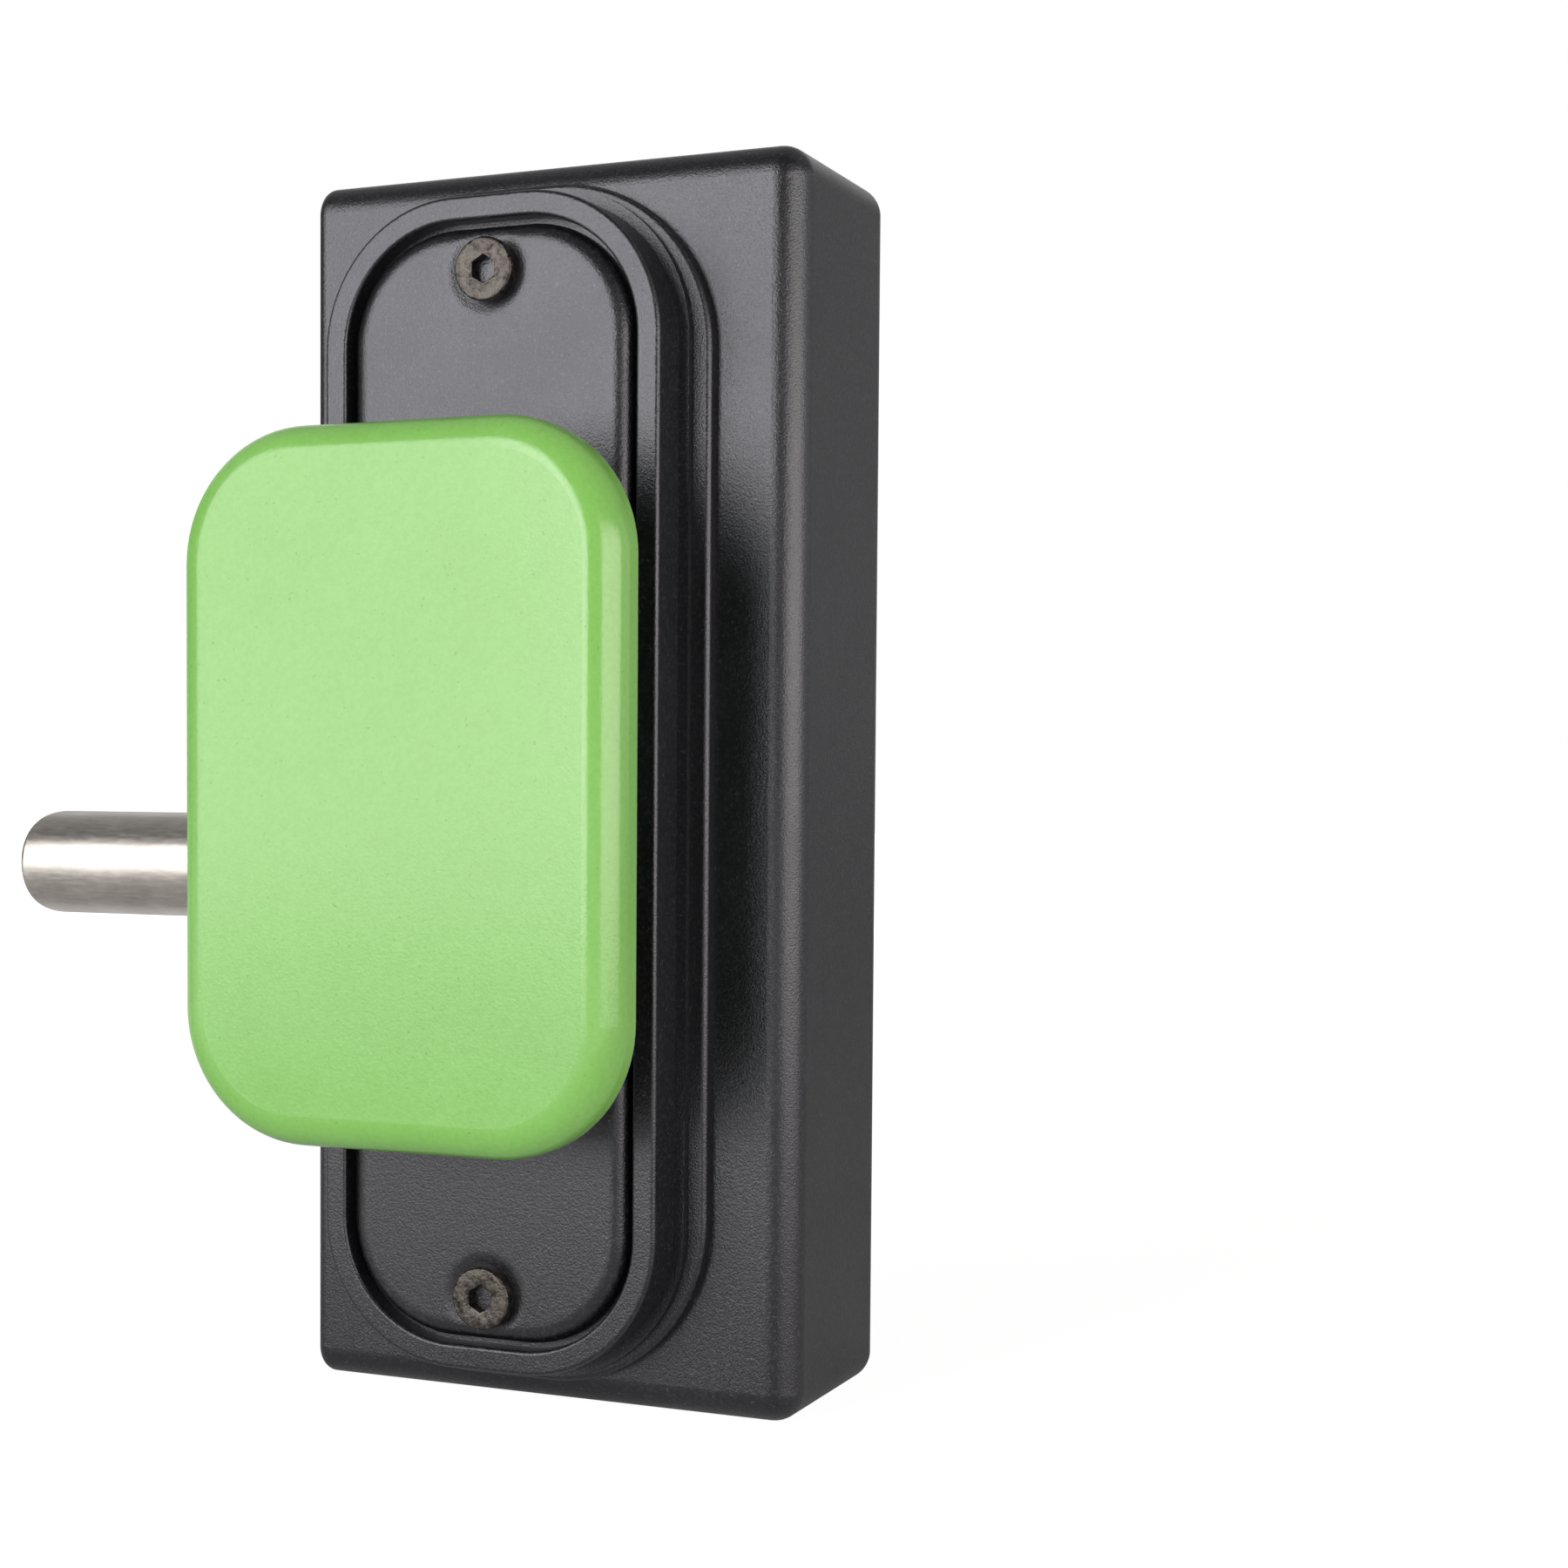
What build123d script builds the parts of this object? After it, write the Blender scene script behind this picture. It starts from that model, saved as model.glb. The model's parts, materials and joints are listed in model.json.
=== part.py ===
from build123d import *
from math import atan2, degrees
import os

# Surface-mounted gate lock, in millimetres.
# The origin is the centre of the mounting plate's face, midway between the two fixing holes.
# +X runs into the case, so the latch bolt points along -X. The push pad is on the -Y side and
# the blank side is +Y. A plane written Plane.XZ.offset(d) lies at y = -d.

# Case
case_length = 74.0
case_thickness = 34.5
case_height = 170.0
case_edge_radius = 4.2
mouth_edge_radius = 1.8
mouth_setback = 0.3
case_wall = 2.5

# Mounting plate in the case's mouth
plate_side_margin = 2.85
plate_end_margin = 2.7
plate_thickness = 12.0
plate_corner_radius = 3.3
plate_edge_chamfer = 0.3
plate_clearance = 0.2
ledge_height = 4.4
fixing_end_distance = 7.3
fixing_bore_diameter = 10.2
fixing_tail_diameter = 13.0
fixing_tail_depth = 24.0
weld_pin_diameter = 5.0
upper_pin_below_lug = 7.1
lower_pin_above_lug = 16.4

# Outlines of the two sides, all centred on one line
side_centre_x = 33.0
boss_width = 58.2
boss_end_margin = 3.5
boss_radius = 23.0
boss_edge_radius = 0.8
pad_boss_rise = 2.2
blank_boss_rise = 2.6

# Collar on the pad side
collar_top = 10.0
collar_flange_reach = 1.4
collar_flange_thickness = 1.1
ring_width = 50.2
ring_end_margin = 5.8
ring_radius = 19.6
ring_edge_radius = 0.6
ring_wall = 3.3
recess_edge_radius = 0.5
ledge_side_width = 4.8
ledge_end_width = 15.9
ledge_opening_radius = 8.0

# Front plate in the collar
front_gap = 0.8
front_plate_thickness = 3.0
front_plate_edge_radius = 2.6
front_screw_diameter = 5.0
front_screw_head_diameter = 8.5
front_screw_head_sink = 2.0
front_screw_head_rise = 1.4
front_screw_head_chamfer = 0.3
front_screw_hex = 3.4
front_screw_hex_depth = 2.2
screw_clearance = 0.15

# Lugs behind the mounting plate that take the front plate screws
lug_height = 11.4
lug_end_gap = 3.5
lug_screw_inset = 5.4
lug_screw_margin = 5.0
lug_wall_gap = 0.2
lug_tail_gap = 0.5

# Blank side cover
cover_width = 44.3
cover_end_margin = 9.1
cover_radius = 16.2
cover_rise = 2.3
cover_edge_radius = 1.0
cover_spigot_side_inset = 1.95
cover_spigot_end_inset = 19.9
cover_spigot_radius = 6.0
cover_spigot_wall = 2.0
cover_fit = 0.15

# Latch bolt
bolt_axis_z = -12.5
bolt_diameter = 16.0
bolt_projection = 59.1
bolt_rear_x = 16.0
bolt_hole_diameter = 18.4
bevel_length = 10.0
bevel_axis_length = 3.0
bevel_tip_y = -6.5
nose_bore_diameter = 5.0
nose_bore_depth = 12.0
bolt_tail_diameter = 10.0
bolt_tail_length = 15.0
bolt_travel = 20.0
bush_wall = 2.0
bush_front_x = 3.0
bush_rear_x = 15.0
running_clearance = 0.06

# Carriage and cross pin
carriage_rear_x = 34.0
carriage_half_height = 8.0
carriage_width = 15.0
carriage_edge_radius = 1.5
spring_seat_diameter = 8.8
spring_seat_length = 3.0
cross_pin_x = 24.0
cross_pin_diameter = 6.0
cross_pin_overhang = 1.4
clip_thickness = 0.8
clip_diameter = 10.0
clip_groove_diameter = 5.0
clip_gap = 0.15
clip_slot_width = 4.0

# Cam plates and guide frame, stacked above and below the carriage
stack_gap = 0.5
cam_thickness = 3.0
cam_margin = 3.6
cam_slot_clearance = 0.1
frame_thickness = 2.5
frame_width = 15.0
frame_foot_margin = 6.2
frame_slot_end_gap = 0.5
tab_thickness = 2.5
tab_height = 13.0
rivet_diameter = 3.0
rivet_head_diameter = 5.6
rivet_head_height = 1.2
rivet_edge_distance = 4.0

# Return spring
spring_diameter = 12.0
spring_wire = 1.2
spring_turns = 8
spring_end_gap = 0.1
spring_rod_diameter = 7.6
spring_rod_length = 10.0

# Push pad and its plunger
pad_travel = 10.0
pad_centre_x = 30.7
pad_width = 63.9
pad_height = 93.8
pad_radius = 17.8
pad_front_height = 33.0
pad_thickness = 7.4
pad_edge_radius = 4.4
pad_rim_radius = 0.7
pad_wall = 2.2
pad_skin = 2.4
pad_rib_thickness = 2.0
pad_boss_margin = 3.0
stem_width = 16.0
stem_height = 24.0
stem_radius = 3.0
stem_length = 17.0
flange_side_gap = 1.2
flange_top_z = 13.0
flange_bottom_z = -37.0
flange_thickness = 3.0
flange_radius = 3.0
flange_gap = 0.2
guide_wall = 2.0
guide_lip = 1.6
guide_lip_rise = 1.2
window_clearance = 1.5
pad_screw_diameter = 5.0
pad_screw_spacing = 14.0
pad_screw_head_diameter = 8.5
pad_screw_head_height = 5.0

# Distances worked out from the driving dimensions
half_case = case_thickness / 2
plate_width = case_thickness - 2 * plate_side_margin
plate_height = case_height - 2 * plate_end_margin
fixing_pitch = plate_height - 2 * fixing_end_distance
inner_half = plate_width / 2 + plate_clearance
cavity_rear_x = case_length - case_wall
boss_face = half_case + pad_boss_rise
ring_face = half_case + collar_top
plate_back = ring_face - front_plate_thickness
flange_front = plate_back - flange_gap
flange_back = flange_front - flange_thickness
tab_back = flange_back - tab_thickness
stem_end = flange_front + stem_length
pad_front = half_case + pad_front_height
pad_rim = pad_front - pad_thickness
pad_inner = pad_front - pad_skin
blank_face = half_case + blank_boss_rise
cam_inner_z = carriage_half_height + stack_gap
cam_outer_z = cam_inner_z + cam_thickness
arm_inner_z = cam_outer_z + stack_gap
arm_outer_z = arm_inner_z + frame_thickness
pin_half_length = arm_outer_z + clip_gap + clip_thickness + cross_pin_overhang
boss_height = case_height - 2 * boss_end_margin
ring_height = case_height - 2 * ring_end_margin
collar_flange_width = ring_width + 2 * collar_flange_reach
collar_flange_height = ring_height + 2 * collar_flange_reach
collar_flange_radius = ring_radius + collar_flange_reach
recess_width = ring_width - 2 * ring_wall
recess_height = ring_height - 2 * ring_wall
recess_radius = ring_radius - ring_wall
ledge_width = recess_width - 2 * ledge_side_width
ledge_opening_height = recess_height - 2 * ledge_end_width
flange_width = ledge_width - 2 * flange_side_gap
cover_height = case_height - 2 * cover_end_margin
cover_spigot_width = cover_width - 2 * cover_spigot_side_inset
cover_spigot_height = cover_height - 2 * cover_spigot_end_inset
lug_outer_z = plate_height / 2 - ledge_height - lug_end_gap
lug_inner_z = lug_outer_z - lug_height
lug_rear_x = side_centre_x + lug_screw_margin
lug_thickness = inner_half - lug_wall_gap - fixing_tail_diameter / 2 - lug_tail_gap
front_screw_z = lug_outer_z - lug_screw_inset
weld_pin_upper_z = lug_inner_z - upper_pin_below_lug
weld_pin_lower_z = lower_pin_above_lug - lug_inner_z
frame_foot_upper_z = weld_pin_upper_z + frame_foot_margin
frame_foot_lower_z = weld_pin_lower_z - frame_foot_margin
bevel_start = bolt_projection - bevel_length
bevel_at_axis = bolt_projection - bevel_axis_length
front_plate_width = recess_width - 2 * front_gap
front_plate_height = recess_height - 2 * front_gap
front_plate_radius = recess_radius - front_gap
guide_width = stem_width + 2 * guide_wall
guide_height = stem_height + 2 * guide_wall
cam_pin_radius = cross_pin_diameter / 2
sides = (1, -1)

os.makedirs("parts", exist_ok=True)


# Case: one shell with a raised boss on both sides, open at the mouth
with BuildPart() as lock_case:
    with BuildSketch(Plane.YZ.offset(mouth_setback)):
        RectangleRounded(case_thickness, case_height, case_edge_radius)
    extrude(amount=case_length - mouth_setback)
    fillet(lock_case.faces().sort_by(Axis.X)[-1].edges(), case_edge_radius)
    fillet(lock_case.faces().sort_by(Axis.X)[0].edges(), mouth_edge_radius)
    with BuildSketch(Plane.XZ.offset(half_case - case_wall)) as pad_boss_outline:
        with Locations((side_centre_x, 0)):
            RectangleRounded(boss_width, boss_height, boss_radius)
    extrude(amount=case_wall + pad_boss_rise)
    fillet(lock_case.faces().sort_by(Axis.Y)[0].edges(), boss_edge_radius)
    with BuildSketch(Plane.XZ.offset(case_wall - half_case)) as blank_boss_outline:
        with Locations((side_centre_x, 0)):
            RectangleRounded(boss_width, boss_height, boss_radius)
    extrude(amount=-case_wall - blank_boss_rise)
    fillet(lock_case.faces().sort_by(Axis.Y)[-1].edges(), boss_edge_radius)
    with BuildSketch(Plane.YZ.offset(mouth_setback)) as mouth_outline:
        RectangleRounded(
            plate_width + 2 * plate_clearance,
            plate_height + 2 * plate_clearance,
            plate_corner_radius + plate_clearance,
        )
    extrude(amount=plate_thickness - mouth_setback, mode=Mode.SUBTRACT)
    with BuildSketch(Plane.YZ.offset(plate_thickness)) as cavity_outline:
        RectangleRounded(2 * inner_half, plate_height - 2 * ledge_height, plate_corner_radius)
    extrude(amount=cavity_rear_x - plate_thickness, mode=Mode.SUBTRACT)
    with BuildSketch(Plane.YZ.offset(plate_thickness)) as fixing_tail_outline:
        with GridLocations(0, fixing_pitch, 1, 2):
            Circle(fixing_tail_diameter / 2)
    extrude(amount=fixing_tail_depth, mode=Mode.SUBTRACT)
    with BuildSketch(Plane.XZ.offset(boss_face)) as plunger_window:
        with Locations((side_centre_x, (flange_top_z + flange_bottom_z) / 2)):
            RectangleRounded(
                flange_width + 2 * window_clearance,
                flange_top_z - flange_bottom_z + 2 * window_clearance,
                flange_radius + window_clearance,
            )
    extrude(amount=inner_half - boss_face, mode=Mode.SUBTRACT)
    with BuildSketch(Plane.XZ.offset(-blank_face)) as cover_window:
        with Locations((side_centre_x, 0)):
            RectangleRounded(
                cover_spigot_width + 2 * cover_fit,
                cover_spigot_height + 2 * cover_fit,
                cover_spigot_radius + cover_fit,
            )
    extrude(amount=blank_face - inner_half, mode=Mode.SUBTRACT)
    with BuildSketch(Plane.XZ.offset(boss_face)) as screw_holes:
        with Locations(*[(side_centre_x, side * front_screw_z) for side in sides]):
            Circle(front_screw_diameter / 2 + screw_clearance)
    extrude(amount=inner_half - boss_face, mode=Mode.SUBTRACT)
lock_case.part.label = "lock_case"
export_step(lock_case.part, "parts/lock_case.step")


# Mounting plate: bare steel, with the two fixing holes, the bolt hole and two pin holes
with BuildPart() as mounting_plate:
    with BuildSketch(Plane.YZ):
        RectangleRounded(plate_width, plate_height, plate_corner_radius)
    extrude(amount=plate_thickness)
    chamfer(mounting_plate.faces().sort_by(Axis.X)[0].edges(), plate_edge_chamfer)
    with BuildSketch(Plane.YZ) as plate_holes:
        with GridLocations(0, fixing_pitch, 1, 2):
            Circle(fixing_bore_diameter / 2)
        with Locations((0, bolt_axis_z)):
            Circle(bolt_hole_diameter / 2)
        with Locations((0, weld_pin_upper_z), (0, weld_pin_lower_z)):
            Circle(weld_pin_diameter / 2)
    extrude(amount=plate_thickness, mode=Mode.SUBTRACT)
    with BuildSketch(Plane.YZ.offset(bush_front_x)) as bush_seat:
        with Locations((0, bolt_axis_z)):
            Circle(bolt_diameter / 2 + running_clearance + bush_wall)
    extrude(amount=plate_thickness - bush_front_x, mode=Mode.SUBTRACT)
mounting_plate.part.label = "mounting_plate"
export_step(mounting_plate.part, "parts/mounting_plate.step")


# Pins that carry the guide frame, flush with the plate's face
with BuildPart() as weld_pins:
    with BuildSketch(Plane.YZ):
        with Locations((0, weld_pin_upper_z), (0, weld_pin_lower_z)):
            Circle(weld_pin_diameter / 2)
    extrude(amount=plate_thickness + frame_thickness)
weld_pins.part.label = "weld_pins"
export_step(weld_pins.part, "parts/weld_pins.step")


# Bush that the latch bolt slides in
with BuildPart() as bolt_guide_bush:
    with BuildSketch(Plane.YZ.offset(bush_front_x)):
        with Locations((0, bolt_axis_z)):
            Circle(bolt_diameter / 2 + running_clearance + bush_wall)
            Circle(bolt_diameter / 2 + running_clearance, mode=Mode.SUBTRACT)
    extrude(amount=bush_rear_x - bush_front_x)
bolt_guide_bush.part.label = "bolt_guide_bush"
export_step(bolt_guide_bush.part, "parts/bolt_guide_bush.step")


# Guide frame: two arms with straight slots, two feet on the plate and a rear web
with BuildPart() as guide_frame:
    frame_rear_x = cavity_rear_x - plate_clearance
    with BuildSketch(Plane.XZ.offset(-frame_width / 2)) as frame_profile:
        with BuildLine():
            Polyline(
                (plate_thickness, bolt_axis_z + arm_inner_z),
                (frame_rear_x - frame_thickness, bolt_axis_z + arm_inner_z),
                (frame_rear_x - frame_thickness, bolt_axis_z - arm_inner_z),
                (plate_thickness, bolt_axis_z - arm_inner_z),
                (plate_thickness, frame_foot_lower_z),
                (plate_thickness + frame_thickness, frame_foot_lower_z),
                (plate_thickness + frame_thickness, bolt_axis_z - arm_outer_z),
                (frame_rear_x, bolt_axis_z - arm_outer_z),
                (frame_rear_x, bolt_axis_z + arm_outer_z),
                (plate_thickness + frame_thickness, bolt_axis_z + arm_outer_z),
                (plate_thickness + frame_thickness, frame_foot_upper_z),
                (plate_thickness, frame_foot_upper_z),
                close=True,
            )
        make_face()
    extrude(amount=frame_width)
    with BuildSketch(Plane.XY.offset(bolt_axis_z - arm_outer_z)) as frame_slots:
        with Locations((cross_pin_x + bolt_travel / 2, 0)):
            SlotCenterToCenter(
                bolt_travel + 2 * frame_slot_end_gap,
                cross_pin_diameter + 2 * running_clearance,
            )
    extrude(amount=2 * arm_outer_z, mode=Mode.SUBTRACT)
    with BuildSketch(Plane.YZ) as frame_holes:
        with Locations((0, weld_pin_upper_z), (0, weld_pin_lower_z)):
            Circle(weld_pin_diameter / 2)
        with Locations((0, bolt_axis_z)):
            Circle(spring_rod_diameter / 2)
    extrude(amount=case_length, mode=Mode.SUBTRACT)
guide_frame.part.label = "guide_frame"
export_step(guide_frame.part, "parts/guide_frame.step")


# Rod that centres the rear of the return spring, riveted in the rear web
with BuildPart() as spring_guide_rod:
    with BuildSketch(Plane.YZ.offset(frame_rear_x)):
        with Locations((0, bolt_axis_z)):
            Circle(spring_rod_diameter / 2)
    extrude(amount=-frame_thickness - spring_rod_length)
    chamfer(spring_guide_rod.faces().sort_by(Axis.X)[0].edges(), spring_wire / 2)
spring_guide_rod.part.label = "spring_guide_rod"
export_step(spring_guide_rod.part, "parts/spring_guide_rod.step")


# Tapped lugs behind the mounting plate, beside the fixing screws
for lug_name, side in zip(("upper_fixing_lug", "lower_fixing_lug"), sides):
    with BuildPart() as fixing_lug:
        with BuildSketch(Plane.XZ.offset(inner_half - lug_wall_gap)):
            with Locations(((plate_thickness + lug_rear_x) / 2, side * (lug_inner_z + lug_height / 2))):
                Rectangle(lug_rear_x - plate_thickness, lug_height)
            with Locations((side_centre_x, side * front_screw_z)):
                Circle(front_screw_diameter / 2, mode=Mode.SUBTRACT)
        extrude(amount=-lug_thickness)
    fixing_lug.part.label = lug_name
    export_step(fixing_lug.part, "parts/" + lug_name + ".step")


# Collar on the pad side: a low flange, a ring and a ledge that carries the front plate
with BuildPart() as front_collar:
    with BuildSketch(Plane.XZ.offset(boss_face)):
        with Locations((side_centre_x, 0)):
            RectangleRounded(collar_flange_width, collar_flange_height, collar_flange_radius)
    extrude(amount=collar_flange_thickness)
    with BuildSketch(Plane.XZ.offset(boss_face)) as ring_outline:
        with Locations((side_centre_x, 0)):
            RectangleRounded(ring_width, ring_height, ring_radius)
    extrude(amount=ring_face - boss_face)
    fillet(front_collar.faces().sort_by(Axis.Y)[0].edges(), ring_edge_radius)
    with BuildSketch(Plane.XZ.offset(plate_back)) as recess_outline:
        with Locations((side_centre_x, 0)):
            RectangleRounded(recess_width, recess_height, recess_radius)
    extrude(amount=front_plate_thickness, mode=Mode.SUBTRACT)
    fillet(front_collar.faces().sort_by(Axis.Y)[0].inner_wires()[0].edges(), recess_edge_radius)
    with BuildSketch(Plane.XZ.offset(boss_face)) as ledge_opening:
        with Locations((side_centre_x, 0)):
            RectangleRounded(ledge_width, ledge_opening_height, ledge_opening_radius)
    extrude(amount=plate_back - boss_face, mode=Mode.SUBTRACT)
    with BuildSketch(Plane.XZ.offset(boss_face)) as collar_screw_holes:
        with Locations(*[(side_centre_x, side * front_screw_z) for side in sides]):
            Circle(front_screw_diameter / 2 + screw_clearance)
    extrude(amount=plate_back - boss_face, mode=Mode.SUBTRACT)
front_collar.part.label = "front_collar"
export_step(front_collar.part, "parts/front_collar.step")


# Front plate, with the opening for the plunger guide and two sunk screw seats
with BuildPart() as front_plate:
    with BuildSketch(Plane.XZ.offset(plate_back)):
        with Locations((side_centre_x, 0)):
            RectangleRounded(front_plate_width, front_plate_height, front_plate_radius)
    extrude(amount=front_plate_thickness)
    fillet(front_plate.faces().sort_by(Axis.Y)[0].edges(), front_plate_edge_radius)
    with BuildSketch(Plane.XZ.offset(plate_back)) as guide_opening:
        with Locations((side_centre_x, 0)):
            RectangleRounded(guide_width, guide_height, stem_radius + guide_wall)
        with Locations(*[(side_centre_x, side * front_screw_z) for side in sides]):
            Circle(front_screw_diameter / 2 + screw_clearance)
    extrude(amount=front_plate_thickness, mode=Mode.SUBTRACT)
    with BuildSketch(Plane.XZ.offset(ring_face - front_screw_head_sink)) as screw_seats:
        with Locations(*[(side_centre_x, side * front_screw_z) for side in sides]):
            Circle(front_screw_head_diameter / 2 + screw_clearance)
    extrude(amount=front_screw_head_sink, mode=Mode.SUBTRACT)
front_plate.part.label = "front_plate"
export_step(front_plate.part, "parts/front_plate.step")


# Two hex socket screws that hold the front plate, the collar and the case on the lugs
with BuildPart() as front_plate_screws:
    with BuildSketch(Plane.XZ.offset(ring_face - front_screw_head_sink)):
        with Locations(*[(side_centre_x, side * front_screw_z) for side in sides]):
            Circle(front_screw_head_diameter / 2)
    extrude(amount=front_screw_head_sink + front_screw_head_rise)
    chamfer(front_plate_screws.faces().group_by(Axis.Y)[0].edges(), front_screw_head_chamfer)
    with BuildSketch(Plane.XZ.offset(inner_half - lug_wall_gap - lug_thickness)) as screw_shanks:
        with Locations(*[(side_centre_x, side * front_screw_z) for side in sides]):
            Circle(front_screw_diameter / 2)
    extrude(amount=ring_face - front_screw_head_sink - inner_half + lug_wall_gap + lug_thickness)
    with BuildSketch(Plane.XZ.offset(ring_face + front_screw_head_rise)) as screw_sockets:
        with Locations(*[(side_centre_x, side * front_screw_z) for side in sides]):
            RegularPolygon(front_screw_hex / 2, 6, major_radius=False)
    extrude(amount=-front_screw_hex_depth, mode=Mode.SUBTRACT)
front_plate_screws.part.label = "front_plate_screws"
export_step(front_plate_screws.part, "parts/front_plate_screws.step")


# Liner in the front plate that the stem of the pad slides in
with BuildPart() as plunger_guide:
    with BuildSketch(Plane.XZ.offset(plate_back)):
        with Locations((side_centre_x, 0)):
            RectangleRounded(guide_width, guide_height, stem_radius + guide_wall)
    extrude(amount=front_plate_thickness)
    with BuildSketch(Plane.XZ.offset(ring_face)) as guide_lip_outline:
        with Locations((side_centre_x, 0)):
            RectangleRounded(
                guide_width + 2 * guide_lip,
                guide_height + 2 * guide_lip,
                stem_radius + guide_wall + guide_lip,
            )
    extrude(amount=guide_lip_rise)
    with BuildSketch(Plane.XZ.offset(plate_back)) as guide_bore:
        with Locations((side_centre_x, 0)):
            RectangleRounded(
                stem_width + 2 * running_clearance,
                stem_height + 2 * running_clearance,
                stem_radius + running_clearance,
            )
    extrude(amount=front_plate_thickness + guide_lip_rise, mode=Mode.SUBTRACT)
plunger_guide.part.label = "plunger_guide"
export_step(plunger_guide.part, "parts/plunger_guide.step")


# Cover on the blank side, located by a ring in the case's window
with BuildPart() as blank_cover:
    with BuildSketch(Plane.XZ.offset(-blank_face)):
        with Locations((side_centre_x, 0)):
            RectangleRounded(cover_width, cover_height, cover_radius)
    extrude(amount=-cover_rise)
    fillet(blank_cover.faces().sort_by(Axis.Y)[-1].edges(), cover_edge_radius)
    with BuildSketch(Plane.XZ.offset(-blank_face)) as spigot_outline:
        with Locations((side_centre_x, 0)):
            RectangleRounded(cover_spigot_width, cover_spigot_height, cover_spigot_radius)
            RectangleRounded(
                cover_spigot_width - 2 * cover_spigot_wall,
                cover_spigot_height - 2 * cover_spigot_wall,
                cover_spigot_radius - cover_spigot_wall,
                mode=Mode.SUBTRACT,
            )
    extrude(amount=blank_face - inner_half)
blank_cover.part.label = "blank_cover"
export_step(blank_cover.part, "parts/blank_cover.step")


# Latch bolt: round bar, bevelled nose with a small bore, and a tail for the carriage
with BuildPart() as latch_bolt:
    with BuildSketch(Plane.YZ.offset(-bolt_projection)):
        with Locations((0, bolt_axis_z)):
            Circle(bolt_diameter / 2)
    extrude(amount=bolt_projection + bolt_rear_x)
    with BuildSketch(Plane.XY.offset(bolt_axis_z - bolt_diameter / 2)) as bevel_outline:
        with BuildLine():
            ThreePointArc(
                (-bevel_start, bolt_diameter / 2),
                (-bevel_at_axis, 0),
                (-bolt_projection, bevel_tip_y),
            )
            Polyline(
                (-bolt_projection, bevel_tip_y),
                (-bolt_projection - bolt_diameter, bevel_tip_y),
                (-bolt_projection - bolt_diameter, bolt_diameter),
                (-bevel_start, bolt_diameter),
                (-bevel_start, bolt_diameter / 2),
            )
        make_face()
    extrude(amount=bolt_diameter, mode=Mode.SUBTRACT)
    with BuildSketch(Plane.YZ.offset(-bolt_projection)) as nose_bore:
        with Locations((0, bolt_axis_z)):
            Circle(nose_bore_diameter / 2)
    extrude(amount=nose_bore_depth, mode=Mode.SUBTRACT)
    with BuildSketch(Plane.YZ.offset(bolt_rear_x)) as bolt_tail:
        with Locations((0, bolt_axis_z)):
            Circle(bolt_tail_diameter / 2)
    extrude(amount=bolt_tail_length)
    with BuildSketch(Plane.XY.offset(bolt_axis_z - bolt_diameter)) as tail_pin_hole:
        with Locations((cross_pin_x, 0)):
            Circle(cross_pin_diameter / 2)
    extrude(amount=2 * bolt_diameter, mode=Mode.SUBTRACT)
latch_bolt.part.label = "latch_bolt"
export_step(latch_bolt.part, "parts/latch_bolt.step")


# Carriage on the tail of the bolt, with a seat for the return spring
with BuildPart() as bolt_carriage:
    with BuildSketch(Plane.YZ.offset(bolt_rear_x)):
        with Locations((0, bolt_axis_z)):
            RectangleRounded(carriage_width, 2 * carriage_half_height, carriage_edge_radius)
    extrude(amount=carriage_rear_x - bolt_rear_x)
    with BuildSketch(Plane.YZ.offset(carriage_rear_x)) as spring_seat:
        with Locations((0, bolt_axis_z)):
            Circle(spring_seat_diameter / 2)
    extrude(amount=spring_seat_length)
    with BuildSketch(Plane.YZ.offset(bolt_rear_x)) as tail_bore:
        with Locations((0, bolt_axis_z)):
            Circle(bolt_tail_diameter / 2)
    extrude(amount=bolt_tail_length, mode=Mode.SUBTRACT)
    with BuildSketch(Plane.XY.offset(bolt_axis_z - carriage_half_height)) as carriage_pin_hole:
        with Locations((cross_pin_x, 0)):
            Circle(cross_pin_diameter / 2)
    extrude(amount=2 * carriage_half_height, mode=Mode.SUBTRACT)
bolt_carriage.part.label = "bolt_carriage"
export_step(bolt_carriage.part, "parts/bolt_carriage.step")


# Cross pin that runs in the sloping slots and in the straight slots
with BuildPart() as cross_pin:
    with BuildSketch(Plane.XY.offset(bolt_axis_z - pin_half_length)):
        with Locations((cross_pin_x, 0)):
            Circle(cross_pin_diameter / 2)
    extrude(amount=2 * pin_half_length)
    for groove_z in (
        bolt_axis_z + arm_outer_z + clip_gap,
        bolt_axis_z - arm_outer_z - clip_gap - clip_thickness,
    ):
        with BuildSketch(Plane.XY.offset(groove_z)) as clip_groove:
            with Locations((cross_pin_x, 0)):
                Circle(cross_pin_diameter / 2)
                Circle(clip_groove_diameter / 2, mode=Mode.SUBTRACT)
        extrude(amount=clip_thickness, mode=Mode.SUBTRACT)
cross_pin.part.label = "cross_pin"
export_step(cross_pin.part, "parts/cross_pin.step")


# Open clips in the pin's grooves
with BuildPart() as cross_pin_clips:
    for clip_z in (
        bolt_axis_z + arm_outer_z + clip_gap,
        bolt_axis_z - arm_outer_z - clip_gap - clip_thickness,
    ):
        with BuildSketch(Plane.XY.offset(clip_z)) as clip_outline:
            with Locations((cross_pin_x, 0)):
                Circle(clip_diameter / 2)
                Circle(clip_groove_diameter / 2, mode=Mode.SUBTRACT)
            with Locations((cross_pin_x, clip_diameter / 2)):
                Rectangle(clip_slot_width, clip_diameter, mode=Mode.SUBTRACT)
        extrude(amount=clip_thickness)
cross_pin_clips.part.label = "cross_pin_clips"
export_step(cross_pin_clips.part, "parts/cross_pin_clips.step")


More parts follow.
